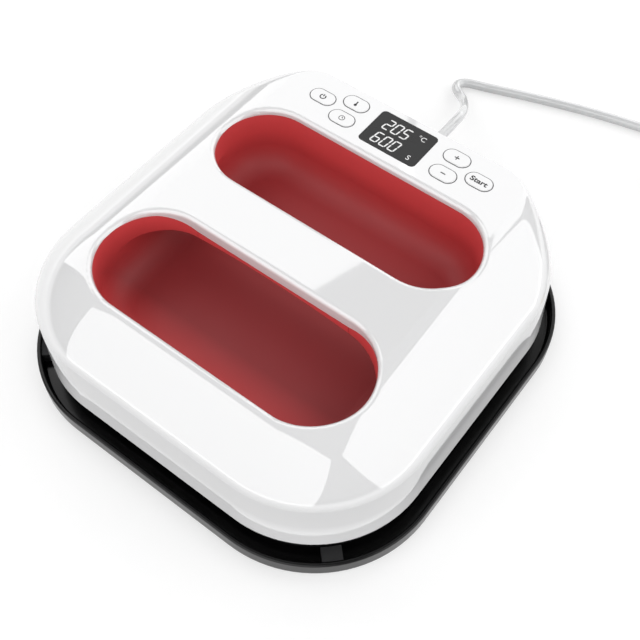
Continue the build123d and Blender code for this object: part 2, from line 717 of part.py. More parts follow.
# Lower housing and heating plate


def housing_outline(height, extra):
    return wall_section(height, -SHELL_WALL - HOUSING_INSET - extra)


def housing_block(low, high, extra):
    """The lower housing's outer form, inset from the shell's inside and further in by extra."""
    return loft([housing_outline(low, extra), housing_outline(high, extra)], ruled=True)


def plate_outline(side, corner, low, high):
    return slab(side, side, corner, low, high)


def make_lower_housing():
    outside = housing_block(HOUSING_BOTTOM, HOUSING_TOP, 0)
    inside = housing_block(HOUSING_FLOOR_TOP, HOUSING_TOP + OVER, HOUSING_WALL)
    opening = plate_outline(
        PLATE_SIDE + 2 * PLATE_GAP, PLATE_CORNER + PLATE_GAP, HOUSING_BOTTOM - OVER, HOUSING_TOP + OVER
    )
    housing = outside - inside
    posts = [
        post(x, y, BOSS_RADIUS, HOUSING_BOTTOM, BOSS_SPLIT) for x, y in HOUSING_SCREW_PLACES
    ]
    shield_posts = [
        post(x, y, BOSS_RADIUS, HOUSING_BOTTOM, SHIELD_BOTTOM) for x, y in SHIELD_POST_PLACES
    ]
    tower = block(
        0, CLAMP_Y, CLAMP_WIDTH, CLAMP_DEPTH, HOUSING_BOTTOM, CORD_EXIT_HEIGHT - CLAMP_SPLIT_GAP
    )
    housing = housing + fused(posts) + fused(shield_posts) + tower
    bores = [
        post(x, y, SCREW_RADIUS + SCREW_GAP, HOUSING_BOTTOM - OVER, BOSS_SPLIT + OVER)
        for x, y in HOUSING_SCREW_PLACES
    ]
    seat = HOUSING_BOTTOM + COUNTERBORE_DEPTH
    counterbores = [
        post(x, y, SCREW_HEAD_RADIUS + SCREW_HEAD_GAP, HOUSING_BOTTOM - OVER, seat)
        for x, y in HOUSING_SCREW_PLACES
    ]
    small_pilot = SMALL_SCREW_RADIUS + SCREW_GAP
    shield_pilots = [
        post(x, y, small_pilot, SHIELD_BOTTOM - SHIELD_PILOT_DEPTH, SHIELD_BOTTOM + OVER)
        for x, y in SHIELD_POST_PLACES
    ]
    groove = cord_axis_cylinder(CORD_RADIUS + CORD_BORE_GAP, CLAMP_Y - CLAMP_DEPTH, CLAMP_Y + CLAMP_DEPTH)
    clamp_pilot_end = CORD_EXIT_HEIGHT - CLAMP_PILOT_DEPTH
    clamp_pilots = [
        post(side * CLAMP_SCREW_X, CLAMP_Y, small_pilot, clamp_pilot_end, CORD_EXIT_HEIGHT)
        for side in (-1, 1)
    ]
    return less(housing, [opening, groove] + bores + counterbores + shield_pilots + clamp_pilots)


def element_path():
    """The tubular element's line on the plate's back: four long runs and two legs that turn up."""
    rise = PLATE_TOP + ELEMENT_LEG
    left_half = [
        (-ELEMENT_X, ELEMENT_LEG_Y, rise),
        (-ELEMENT_X, ELEMENT_LEG_Y, PLATE_TOP),
        (-ELEMENT_X, ELEMENT_FRONT_Y, PLATE_TOP),
        (-ELEMENT_INNER_X, ELEMENT_FRONT_Y, PLATE_TOP),
        (-ELEMENT_INNER_X, ELEMENT_CROSS_Y, PLATE_TOP),
    ]
    right_half = [(-x, y, z) for x, y, z in reversed(left_half)]
    return FilletPolyline(*left_half, *right_half, radius=ELEMENT_BEND)


def round_sweep(path, radius):
    """A round bar along a path."""
    start = Plane(origin=path @ 0, z_dir=path % 0)
    return sweep(start * Circle(radius), path=path)


def make_heating_plate(path):
    plate = plate_outline(PLATE_SIDE, PLATE_CORNER, PLATE_BOTTOM, PLATE_TOP)
    plate = fillet(lowest_edges(plate), PLATE_EDGE_ROUND)
    groove = round_sweep(path, ELEMENT_RADIUS + ELEMENT_GAP)
    pilots = [
        post(x, y, SCREW_RADIUS + SCREW_GAP, PLATE_TOP - PLATE_PILOT_DEPTH, PLATE_TOP + OVER)
        for x, y in STANDOFF_PLACES
    ]
    return less(plate, [groove] + pilots)


def element_ends(path):
    return [path @ 0, path @ 1]


def make_element_terminals(path):
    """Ceramic bushes on the element's ends, each with a flat tab."""
    pieces = []
    for end in element_ends(path):
        low = end.Z - TERMINAL_HEIGHT
        top = end.Z + TERMINAL_CAP
        bush = post(end.X, end.Y, TERMINAL_RADIUS, low, top)
        bore = post(end.X, end.Y, ELEMENT_RADIUS + ELEMENT_GAP, low - OVER, end.Z)
        tab = block(end.X, end.Y, TAB_WIDTH, TAB_THICKNESS, top, top + TAB_HEIGHT)
        pieces.append((bush - bore) + tab)
    return group(pieces)


def make_insulation_mat(path):
    """Fibre mat over the plate, with holes for all that stands on the plate."""
    mat = plate_outline(INSULATION_SIDE, PLATE_CORNER, INSULATION_BOTTOM, INSULATION_TOP)
    low = INSULATION_BOTTOM - OVER
    high = INSULATION_TOP + OVER
    holes = [post(x, y, STANDOFF_RADIUS + CLEARANCE, low, high) for x, y in STANDOFF_PLACES]
    for end in element_ends(path):
        holes.append(post(end.X, end.Y - ELEMENT_LEG_HOLE_SHIFT, ELEMENT_LEG_HOLE, low, high))
    holes.append(post(0, CUTOUT_Y, CUTOUT_RADIUS + CLEARANCE, low, high))
    holes.append(post(SENSOR_X, SENSOR_Y, SENSOR_LENGTH / 2 + 2 * SENSOR_RADIUS, low, high))
    holes.append(post(SENSOR_X, SENSOR_LEAD_Y, SENSOR_LEAD_HOLE, low, high))
    return less(mat, holes)


def shield_ear(x, y):
    """A tab from the shield's edge to just past the post that it is screwed to."""
    if y == 0:
        reach = abs(x) + SHIELD_EAR_REACH
        return block(math.copysign(reach / 2, x), 0, reach, SHIELD_EAR_WIDTH, SHIELD_BOTTOM, SHIELD_TOP)
    reach = abs(y) + SHIELD_EAR_REACH
    return block(0, math.copysign(reach / 2, y), SHIELD_EAR_WIDTH, reach, SHIELD_BOTTOM, SHIELD_TOP)


def make_heat_shield(path):
    """Steel sheet over the insulation, screwed to posts of the lower housing."""
    shield = plate_outline(SHIELD_SIDE, PLATE_CORNER, SHIELD_BOTTOM, SHIELD_TOP)
    shield = shield + fused(shield_ear(x, y) for x, y in SHIELD_POST_PLACES)
    low = SHIELD_BOTTOM - OVER
    high = SHIELD_TOP + OVER
    holes = [post(end.X, end.Y, TERMINAL_RADIUS + TERMINAL_HOLE_GAP, low, high) for end in element_ends(path)]
    holes += [post(x, y, BOSS_RADIUS + CLEARANCE, low, high) for x, y in HOUSING_SCREW_PLACES]
    holes += [post(x, y, SCREW_RADIUS + SCREW_GAP, low, high) for x, y in STANDOFF_PLACES]
    holes += [post(x, y, SMALL_SCREW_RADIUS + SCREW_GAP, low, high) for x, y in SHIELD_POST_PLACES]
    holes.append(post(0, CUTOUT_Y, CUTOUT_RADIUS + CLEARANCE, low, high))
    holes.append(post(SENSOR_X, SENSOR_LEAD_Y, SENSOR_LEAD_HOLE, low, high))
    return less(shield, holes)


def make_plate_standoffs():
    return group(
        post(x, y, STANDOFF_RADIUS, PLATE_TOP, SHIELD_BOTTOM)
        - post(x, y, SCREW_RADIUS + SCREW_GAP, PLATE_TOP - OVER, SHIELD_BOTTOM + OVER)
        for x, y in STANDOFF_PLACES
    )


def screw(x, y, radius, head_radius, head_height, seat, end):
    """A screw with its head on the seat and its shank to the end, above or below."""
    away = 1 if seat > end else -1
    shank = post(x, y, radius, min(seat, end), max(seat, end))
    head_end = seat + away * head_height
    return shank + post(x, y, head_radius, min(seat, head_end), max(seat, head_end))


def large_screw(x, y, seat, end):
    return screw(x, y, SCREW_RADIUS, SCREW_HEAD_RADIUS, SCREW_HEAD_HEIGHT, seat, end)


def small_screw(x, y, seat, end):
    return screw(x, y, SMALL_SCREW_RADIUS, SMALL_HEAD_RADIUS, SMALL_HEAD_HEIGHT, seat, end)


def make_plate_screws():
    end = PLATE_TOP - PLATE_PILOT_DEPTH + SCREW_END_GAP
    return group(large_screw(x, y, SHIELD_TOP, end) for x, y in STANDOFF_PLACES)


def make_shield_screws():
    end = SHIELD_BOTTOM - SHIELD_PILOT_DEPTH + SCREW_END_GAP
    return group(small_screw(x, y, SHIELD_TOP, end) for x, y in SHIELD_POST_PLACES)


def make_housing_screws():
    """Screws up through the lower housing into the shell's bosses."""
    seat = HOUSING_BOTTOM + COUNTERBORE_DEPTH
    end = BOSS_SPLIT + SCREW_DEPTH - SCREW_END_GAP
    return group(large_screw(x, y, seat, end) for x, y in HOUSING_SCREW_PLACES)


def make_thermal_cutout():
    """Bimetal disc switch that stands on the plate, with two flat terminals."""
    top = PLATE_TOP + CUTOUT_HEIGHT
    body = post(0, CUTOUT_Y, CUTOUT_RADIUS, PLATE_TOP, top)
    tab_x = CUTOUT_RADIUS / 2
    tabs = [
        block(side * tab_x, CUTOUT_Y, TAB_THICKNESS, TAB_WIDTH, top, top + TAB_HEIGHT) for side in (-1, 1)
    ]
    return body + fused(tabs)


def make_temperature_sensor():
    """Sensor bead that lies on the plate."""
    place = Pos(SENSOR_X, SENSOR_Y, PLATE_TOP + SENSOR_RADIUS)
    return place * Rot(90, 0, 0) * Cylinder(SENSOR_RADIUS, SENSOR_LENGTH)


def make_sensor_clip():
    """Sheet clip that holds the sensor down on the plate."""
    top = PLATE_TOP + 2 * SENSOR_RADIUS
    leg_x = SENSOR_RADIUS + CLIP_SHEET
    high = top + CLIP_SHEET
    pieces = [block(SENSOR_X, SENSOR_Y, 2 * leg_x + CLIP_SHEET, CLIP_WIDTH, top, high)]
    for side in (-1, 1):
        at_x = SENSOR_X + side * leg_x
        foot_x = at_x + side * CLIP_FOOT / 2
        pieces.append(block(at_x, SENSOR_Y, CLIP_SHEET, CLIP_WIDTH, PLATE_TOP, high))
        pieces.append(block(foot_x, SENSOR_Y, CLIP_FOOT, CLIP_WIDTH, PLATE_TOP, PLATE_TOP + CLIP_SHEET))
    return fused(pieces)


# Control panel


def make_display_window():
    return slab(
        DISPLAY_WIDTH, DISPLAY_DEPTH, DISPLAY_CORNER, SHELL_TOP - WINDOW_THICKNESS, SHELL_TOP, DISPLAY_Y
    )


def make_display_module():
    width = DISPLAY_WIDTH - 2 * WINDOW_LEDGE - 2 * MODULE_GAP
    depth = DISPLAY_DEPTH - 2 * WINDOW_LEDGE - 2 * MODULE_GAP
    top = SHELL_TOP - WINDOW_THICKNESS - MODULE_GAP
    return slab(width, depth, OPENING_CORNER, BOARD_TOP, top, DISPLAY_Y)


def make_button(x, y):
    """A pill-shaped key with a flange under the shell and a stem over its switch."""
    radius = BUTTON_WIDTH / 2
    half = BUTTON_LENGTH / 2 - radius
    low = FLANGE_TOP - BUTTON_FLANGE_THICKNESS
    cap = stadium(x, y, half, radius, low, SHELL_TOP + BUTTON_PROUD)
    cap = fillet(highest_edges(cap), BUTTON_ROUND)
    flange = stadium(x, y, half, radius + BUTTON_FLANGE, low, FLANGE_TOP)
    stem = post(x, y, BUTTON_STEM_RADIUS, PLUNGER_TOP, low)
    return cap + flange + stem


def make_plunger(x, y):
    return post(x, y, PLUNGER_RADIUS, SWITCH_TOP - PLUNGER_SEAT, PLUNGER_TOP)


def make_tact_switches():
    pieces = []
    for x, y in BUTTONS.values():
        body = block(x, y, SWITCH_SIDE, SWITCH_SIDE, BOARD_TOP, SWITCH_TOP)
        well = post(x, y, PLUNGER_RADIUS + PLUNGER_GAP, SWITCH_TOP - PLUNGER_WELL, SWITCH_TOP + OVER)
        pieces.append(body - well)
    return group(pieces)


def make_control_board():
    board = block(0, DISPLAY_Y, BOARD_WIDTH, BOARD_DEPTH, BOARD_BOTTOM, BOARD_TOP)
    holes = [
        post(x, y, SMALL_SCREW_RADIUS + SCREW_GAP, BOARD_BOTTOM - OVER, BOARD_TOP + OVER)
        for x, y in BOARD_POST_PLACES
    ]
    return less(board, holes)


def make_board_screws():
    end = BOARD_TOP + BOARD_PILOT_DEPTH - SCREW_END_GAP
    return group(small_screw(x, y, BOARD_BOTTOM, end) for x, y in BOARD_POST_PLACES)


# Power electronics between the liner and the back wall


def make_power_board():
    board = block(0, POWER_BOARD_Y, POWER_BOARD_WIDTH, POWER_BOARD_DEPTH, POWER_BOARD_BOTTOM, POWER_BOARD_TOP)
    holes = [
        post(x, y, SMALL_SCREW_RADIUS + SCREW_GAP, POWER_BOARD_BOTTOM - OVER, POWER_BOARD_TOP + OVER)
        for x, y in SPACER_PLACES
    ]
    return less(board, holes)


def make_board_spacers():
    """Nylon spacers that carry the power board on the heat shield, each with a pin through the board."""
    pieces = []
    for x, y in SPACER_PLACES:
        body = post(x, y, SMALL_BOSS_RADIUS, SHIELD_TOP, POWER_BOARD_BOTTOM)
        pin = post(x, y, SMALL_SCREW_RADIUS, POWER_BOARD_BOTTOM, POWER_BOARD_TOP + SPACER_PIN)
        pieces.append(body + pin)
    return group(pieces)


def on_board(x, y, size):
    """A block that stands on the power board."""
    width, depth, height = size
    return block(x, y, width, depth, POWER_BOARD_TOP, POWER_BOARD_TOP + height)


def make_terminal_block():
    return on_board(0, TERMINAL_BLOCK_REAR - TERMINAL_BLOCK_SIZE[1] / 2, TERMINAL_BLOCK_SIZE)


def make_relay():
    return on_board(RELAY_X, POWER_BOARD_Y + RELAY_SHIFT, RELAY_SIZE)


def make_transformer():
    core = on_board(TRANSFORMER_X, POWER_BOARD_Y, TRANSFORMER_CORE)
    bobbin = on_board(TRANSFORMER_X, POWER_BOARD_Y, TRANSFORMER_BOBBIN)
    return core + bobbin


def make_heat_sink():
    """Comb-shaped sink for the switching element."""
    width, depth, height = HEAT_SINK_SIZE
    base_y = POWER_BOARD_Y + HEAT_SINK_SHIFT
    fin_y = base_y + (depth + FIN_DEPTH) / 2
    fin_step = (width - FIN_THICKNESS) / (FIN_COUNT - 1)
    first_x = HEAT_SINK_X - (width - FIN_THICKNESS) / 2
    fins = [
        on_board(first_x + index * fin_step, fin_y, (FIN_THICKNESS, FIN_DEPTH, height))
        for index in range(FIN_COUNT)
    ]
    return on_board(HEAT_SINK_X, base_y, HEAT_SINK_SIZE) + fused(fins)


def make_capacitors():
    y = POWER_BOARD_Y + CAPACITOR_SHIFT
    top = POWER_BOARD_TOP + CAPACITOR_HEIGHT
    return group(post(x, y, CAPACITOR_RADIUS, POWER_BOARD_TOP, top) for x in CAPACITOR_XS)


def make_fuse():
    """Glass fuse between two clips."""
    y = POWER_BOARD_Y + FUSE_SHIFT
    clips = [on_board(RELAY_X + side * FUSE_CLIP_X, y, FUSE_CLIP_SIZE) for side in (-1, 1)]
    tube = Pos(RELAY_X, y, POWER_BOARD_TOP + FUSE_HEIGHT) * Rot(0, 90, 0) * Cylinder(FUSE_RADIUS, FUSE_LENGTH)
    return fused(clips) + tube


def make_buzzer():
    return post(BUZZER_X, POWER_BOARD_Y, BUZZER_RADIUS, POWER_BOARD_TOP, POWER_BOARD_TOP + BUZZER_HEIGHT)


def make_ribbon_cable():
    """Flat cable from the power board up to the control board."""
    y = POWER_BOARD_Y + RIBBON_SHIFT
    return block(RIBBON_X, y, RIBBON_THICKNESS, RIBBON_WIDTH, POWER_BOARD_TOP, BOARD_BOTTOM)


def lead(points, bend, radius):
    return round_sweep(FilletPolyline(*points, radius=bend), radius)


def make_heater_leads(path):
    """Insulated leads from the element's terminals to the power board's ends."""
    pieces = []
    for end, side in zip(element_ends(path), (-1, 1)):
        tab_top = end.Z + TERMINAL_CAP + TAB_HEIGHT
        over = tab_top + HEATER_LEAD_RISE
        board_x = side * (POWER_BOARD_WIDTH / 2 - HEATER_LEAD_INSET)
        points = [
            (end.X, end.Y, tab_top),
            (end.X, end.Y, over),
            (board_x, POWER_BOARD_Y, over),
            (board_x, POWER_BOARD_Y, POWER_BOARD_TOP),
        ]
        pieces.append(lead(points, HEATER_LEAD_BEND, HEATER_LEAD_RADIUS))
    return group(pieces)


def make_sensor_leads():
    """The sensor's lead, up through the shield and back to the power board's underside."""
    low = PLATE_TOP + SENSOR_RADIUS
    over = SHIELD_TOP + SENSOR_LEAD_HEIGHT
    points = [
        (SENSOR_X, SENSOR_Y + SENSOR_LENGTH / 2, low),
        (SENSOR_X, SENSOR_LEAD_Y, low),
        (SENSOR_X, SENSOR_LEAD_Y, over),
        (SENSOR_X, POWER_BOARD_Y, over),
        (SENSOR_X, POWER_BOARD_Y, POWER_BOARD_BOTTOM),
    ]
    return lead(points, SENSOR_LEAD_BEND, SENSOR_LEAD_RADIUS)


# Cord, its strain relief and its plug


def make_strain_relief(wall):
    """Tapered rubber sleeve, moulded on the cord and held in the back wall between two flanges."""
    wall_y = outer_wall_y(CORD_EXIT_HEIGHT)
    length = CORD_START_Y - wall_y
    place = Pos(0, (wall_y + CORD_START_Y) / 2, CORD_EXIT_HEIGHT) * Rot(-90, 0, 0)
    taper = place * Cone(RELIEF_ROOT_RADIUS, RELIEF_TIP_RADIUS, length)
    inner_end = wall_y - SHELL_WALL - 2 * RELIEF_FLANGE_THICKNESS
    outer_end = wall_y + RELIEF_FLANGE_THICKNESS
    flanges = cord_axis_cylinder(RELIEF_FLANGE_RADIUS, inner_end, outer_end)
    neck = cord_axis_cylinder(RELIEF_NECK_RADIUS, inner_end, outer_end)
    bore = cord_axis_cylinder(CORD_RADIUS + CORD_BORE_GAP, inner_end - OVER, INNER_LEAD_END_Y)
    return (taper + flanges - wall) + neck - bore


def outer_wall_y(height):
    """Where the shell's back face is at a height in its straight part."""
    share = (height - SHELL_BOTTOM) / (SHOULDER_HEIGHT - SHELL_BOTTOM)
    return SHELL_DEPTH / 2 - (SIDE_DRAFT + BACK_LEAN) * share


def make_inner_lead():
    """The cord's end inside the press, from within the strain relief to the terminal block."""
    return cord_axis_cylinder(CORD_RADIUS, TERMINAL_BLOCK_REAR, INNER_LEAD_END_Y)


def make_cord_clamp():
    """Bar that clamps the cord on the lower housing's tower."""
    low = CORD_EXIT_HEIGHT + CLAMP_SPLIT_GAP
    bar = block(0, CLAMP_Y, CLAMP_WIDTH, CLAMP_DEPTH, low, low + CLAMP_HEIGHT)
    groove = cord_axis_cylinder(CORD_RADIUS + CORD_BORE_GAP, CLAMP_Y - CLAMP_DEPTH, CLAMP_Y + CLAMP_DEPTH)
    high = low + CLAMP_HEIGHT
    holes = [
        post(side * CLAMP_SCREW_X, CLAMP_Y, SMALL_SCREW_RADIUS + SCREW_GAP, low - OVER, high + OVER)
        for side in (-1, 1)
    ]
    return less(bar, [groove] + holes)


def make_clamp_screws():
    seat = CORD_EXIT_HEIGHT + CLAMP_SPLIT_GAP + CLAMP_HEIGHT
    end = CORD_EXIT_HEIGHT - CLAMP_PILOT_DEPTH + SCREW_END_GAP
    return group(small_screw(side * CLAMP_SCREW_X, CLAMP_Y, seat, end) for side in (-1, 1))


def corner_radii(points):
    """For each inner corner of a route, a share of its shorter run over the tangent of half the turn."""
    radii = []
    for before, at, after in zip(points, points[1:], points[2:]):
        into = Vector(*at) - Vector(*before)
        out_of = Vector(*after) - Vector(*at)
        half_turn = math.radians(into.get_angle(out_of)) / 2
        radii.append(ARC_SHARE * min(into.length, out_of.length) / math.tan(half_turn))
    return radii


def make_mains_cord():
    radii = corner_radii(CORD_ROUTE)
    path = FilletPolyline(*CORD_ROUTE, radius=radii)
    cord = round_sweep(path, CORD_RADIUS)
    section = math.pi * CORD_RADIUS**2
    print("cord radii", [round(radius, 1) for radius in radii])
    print("cord length", round(path.length, 1), "volume ratio", cord.volume / (section * path.length))
    return cord


def coil_place():
    """The coil's own frame: its first turn starts at (0, COIL_RADIUS), along +X as the cord arrives."""
    before, end = CORD_ROUTE[-2:]
    turn = math.atan2(end[1] - before[1], end[0] - before[0])
    straight = 2 * CORD_RADIUS
    start_x = end[0] + straight * math.cos(turn)
    start_y = end[1] + straight * math.sin(turn)
    centre_x = start_x + COIL_RADIUS * math.sin(turn)
    centre_y = start_y - COIL_RADIUS * math.cos(turn)
    return Pos(centre_x, centre_y, 0) * Rot(0, 0, math.degrees(turn))


def coil_joints():
    """Joints of the half turns, each as y, height and radius of the half turn that starts there."""
    narrowing = COIL_STEP / 2
    joints = []
    y = COIL_RADIUS
    side = 1
    for step in range(COIL_HALF_TURNS):
        radius = COIL_RADIUS - narrowing * step
        joints.append((y, COIL_LIFT, radius))
        y -= side * 2 * radius
        side = -side
    radius = COIL_RADIUS - narrowing * COIL_HALF_TURNS
    joints.append((y, COIL_LIFT, radius))
    y -= side * 2 * radius
    side = -side
    for step in range(COIL_HALF_TURNS):
        radius = COIL_RADIUS - narrowing * (COIL_HALF_TURNS - 1 - step)
        joints.append((y, COIL_TOP, radius))
        y -= side * 2 * radius
        side = -side
    return joints


def coil_path():
    """Two layers of turns: in along the table, up a layer in one half turn, and out again on top."""
    straight = 2 * CORD_RADIUS
    edges = [Line((-straight, COIL_RADIUS, COIL_LIFT), (0, COIL_RADIUS, COIL_LIFT))]
    joints = coil_joints()
    for index, (y, height, radius) in enumerate(joints):
        side = 1 if index % 2 == 0 else -1
        heading = (side, 0, 0)
        start = (0, y, height)
        middle_y = y - side * radius
        if index == COIL_HALF_TURNS:
            bulge = math.hypot(radius, COIL_STEP / 2)
            middle = (side * bulge, middle_y, height + COIL_STEP / 2)
            end = (0, y - side * 2 * radius, height + COIL_STEP)
            rising = TangentArc(start, middle, tangent=heading)
            edges.append(rising)
            edges.append(TangentArc(middle, end, tangent=rising % 1))
        elif index == len(joints) - 1:
            middle = (side * radius, middle_y, height)
            edges.append(TangentArc(start, middle, tangent=heading))
            edges.append(Line(middle, (side * radius, middle_y - side * straight, height)))
        else:
            edges.append(TangentArc(start, (0, y - side * 2 * radius, height), tangent=heading))
    return Wire([edge.edge() for edge in edges])


def print_coil_gap(path):
    """Least gap of the coil to itself, measured on points along its line."""
    count = GAP_POINTS
    points = [path @ (index / count) for index in range(count + 1)]
    step = path.length / count
    near = int(4 * COIL_STEP / step)
    least = min(
        (points[first] - points[second]).length
        for first in range(0, count, 3)
        for second in range(first + near, count + 1)
    )
    print("coil length", round(path.length, 1), "least gap to itself", round(least - 2 * CORD_RADIUS, 3))


def make_cord_coil(path):
    print_coil_gap(path)
    return coil_place() * round_sweep(path, CORD_RADIUS)


def tail_frame(path):
    """Where the coil ends, with X along the cord."""
    end = Plane(origin=path @ 1, x_dir=path % 1, z_dir=(0, 0, 1))
    return coil_place() * end.location


def make_cord_tail(frame):
    return frame * Pos(TAIL_LENGTH / 2, 0, 0) * Rot(0, 90, 0) * Cylinder(CORD_RADIUS, TAIL_LENGTH)


def make_cord_tie():
    """Strap round the bundle of turns, on the side away from the coil's ends."""
    radii = [radius for index, (y, height, radius) in enumerate(coil_joints()) if index % 2 == 1]
    off_centre = TIE_WIDTH / 2 + COIL_STEP / 2
    innermost = math.sqrt(min(radii) ** 2 - off_centre**2)
    low_x = -max(radii) - CORD_RADIUS - TIE_GAP
    high_x = -innermost + CORD_RADIUS + TIE_GAP
    low = COIL_LIFT - CORD_RADIUS - TIE_LIFT
    high = COIL_TOP + CORD_RADIUS + TIE_LIFT
    width = high_x - low_x
    height = high - low
    with BuildSketch(Plane.XZ) as profile:
        with Locations(((low_x + high_x) / 2, (low + high) / 2)):
            outer = (width + 2 * TIE_THICKNESS, height + 2 * TIE_THICKNESS)
            RectangleRounded(*outer, TIE_CORNER + TIE_THICKNESS)
            RectangleRounded(width, height, TIE_CORNER, mode=Mode.SUBTRACT)
    return coil_place() * extrude(profile.sketch, TIE_WIDTH / 2, both=True)


def make_plug_body(frame):
    """Moulded plug that lies on its flat side, with a tapered boot."""
    boot_length = PLUG_BOOT_LENGTH
    boot = Pos(boot_length / 2, 0, 0) * Rot(0, 90, 0) * Cone(PLUG_BOOT_TIP, PLUG_BOOT_RADIUS, boot_length)
    with BuildSketch(Plane.YZ) as face:
        RectangleRounded(PLUG_WIDTH, PLUG_HEIGHT, PLUG_CORNER)
    body = Pos(boot_length, 0, 0) * extrude(face.sketch, PLUG_LENGTH)
    body = fillet(body.edges().group_by(Axis.X)[0], PLUG_REAR_ROUND)
    return frame * less(body + boot, plug_pin_forms())


def plug_pin_forms():
    """Two blades and a round pin in the plug's frame, from inside the body to their ends."""
    face = PLUG_BOOT_LENGTH + PLUG_LENGTH
    blade_end = face + BLADE_LENGTH
    ground_end = face + GROUND_LENGTH
    first = face - PIN_ROOT
    blades = [
        Pos((first + blade_end) / 2, side * BLADE_SPACING / 2, PIN_OFFSET)
        * Box(blade_end - first, BLADE_THICKNESS, BLADE_HEIGHT)
        for side in (-1, 1)
    ]
    ground = Pos((first + ground_end) / 2, 0, PIN_OFFSET - GROUND_DROP) * Rot(0, 90, 0) * Cylinder(
        GROUND_RADIUS, ground_end - first
    )
    return blades + [ground]


def make_plug_pins(frame):
    return group(frame * pin for pin in plug_pin_forms())


def write(name, shape):
    shape.label = name
    export_step(shape, f"parts/{name}.step")


def main():
    os.makedirs("parts", exist_ok=True)
    outer = shell_body(0, SHELL_BOTTOM)
    inner = shell_body(-SHELL_WALL, SHELL_BOTTOM - OVER)
    room = shell_body(-SHELL_WALL - RELIEF_GAP, SHELL_BOTTOM - OVER)
    thick_wall = shell_body(RELIEF_GAP, SHELL_BOTTOM) - room
    element = element_path()
    coil = coil_path()
    frame = tail_frame(coil)
    plug_frame = frame * Pos(TAIL_LENGTH, 0, 0)

    write("safety_tray", make_safety_tray())
    write("tray_mat", make_tray_mat())
    write("corner_locators", make_corner_locators())
    write("rubber_feet", make_rubber_feet())
    write("top_shell", make_top_shell(outer, inner))
    write("grip_liner", make_grip_liner(room))
    write("grip_underside", make_grip_underside())
    write("lower_housing", make_lower_housing())
    write("heating_plate", make_heating_plate(element))
    write("heating_element", round_sweep(element, ELEMENT_RADIUS))
    write("element_terminals", make_element_terminals(element))
    write("insulation_mat", make_insulation_mat(element))
    write("heat_shield", make_heat_shield(element))
    write("plate_standoffs", make_plate_standoffs())
    write("plate_screws", make_plate_screws())
    write("shield_screws", make_shield_screws())
    write("housing_screws", make_housing_screws())
    write("thermal_cutout", make_thermal_cutout())
    write("temperature_sensor", make_temperature_sensor())
    write("sensor_clip", make_sensor_clip())
    write("sensor_leads", make_sensor_leads())
    write("heater_leads", make_heater_leads(element))
    write("display_window", make_display_window())
    write("display_module", make_display_module())
    for name, (x, y) in BUTTONS.items():
        write(f"{name}_button", make_button(x, y))
        write(f"{name}_plunger", make_plunger(x, y))
    write("tact_switches", make_tact_switches())
    write("control_board", make_control_board())
    write("board_screws", make_board_screws())
    write("power_board", make_power_board())
    write("board_spacers", make_board_spacers())
    write("terminal_block", make_terminal_block())
    write("relay", make_relay())
    write("transformer", make_transformer())
    write("heat_sink", make_heat_sink())
    write("capacitors", make_capacitors())
    write("fuse", make_fuse())
    write("buzzer", make_buzzer())
    write("ribbon_cable", make_ribbon_cable())
    write("strain_relief", make_strain_relief(thick_wall))
    write("inner_lead", make_inner_lead())
    write("cord_clamp", make_cord_clamp())
    write("clamp_screws", make_clamp_screws())
    write("mains_cord", make_mains_cord())
    write("cord_coil", make_cord_coil(coil))
    write("cord_tail", make_cord_tail(frame))
    write("cord_tie", make_cord_tie())
    write("plug_body", make_plug_body(plug_frame))
    write("plug_pins", make_plug_pins(plug_frame))


main()
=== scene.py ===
import json
import math

import bmesh
import bpy
from mathutils import Matrix, Vector


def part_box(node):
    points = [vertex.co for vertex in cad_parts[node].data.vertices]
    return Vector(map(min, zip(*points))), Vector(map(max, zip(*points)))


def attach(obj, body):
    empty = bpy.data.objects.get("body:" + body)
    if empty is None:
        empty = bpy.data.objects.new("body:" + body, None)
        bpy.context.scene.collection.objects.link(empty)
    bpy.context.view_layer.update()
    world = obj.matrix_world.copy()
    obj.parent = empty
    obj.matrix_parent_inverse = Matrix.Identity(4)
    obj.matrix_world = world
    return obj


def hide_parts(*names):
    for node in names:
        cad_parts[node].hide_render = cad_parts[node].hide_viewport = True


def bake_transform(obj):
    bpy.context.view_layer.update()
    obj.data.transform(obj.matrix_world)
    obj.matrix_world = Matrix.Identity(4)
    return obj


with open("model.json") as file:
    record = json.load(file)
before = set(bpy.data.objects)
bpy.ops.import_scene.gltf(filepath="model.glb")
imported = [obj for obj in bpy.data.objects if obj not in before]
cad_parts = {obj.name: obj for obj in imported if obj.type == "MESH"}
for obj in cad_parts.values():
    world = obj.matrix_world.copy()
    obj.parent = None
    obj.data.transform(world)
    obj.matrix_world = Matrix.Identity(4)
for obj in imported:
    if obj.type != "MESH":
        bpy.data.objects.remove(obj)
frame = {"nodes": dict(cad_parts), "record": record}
NODES = frame["nodes"]
scene = bpy.context.scene
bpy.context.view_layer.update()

# Camera
CAMERA_PLACE = (0.2266, -0.2804, 0.5517)
CAMERA_RIGHT = (0.7952, 0.6063, 0.0056)
CAMERA_FORWARD = (-0.3313, 0.4423, -0.8334)
LENS_MM = 56.05
SENSOR_MM = 36.0
CLIP_NEAR = 0.01
CLIP_FAR = 20.0

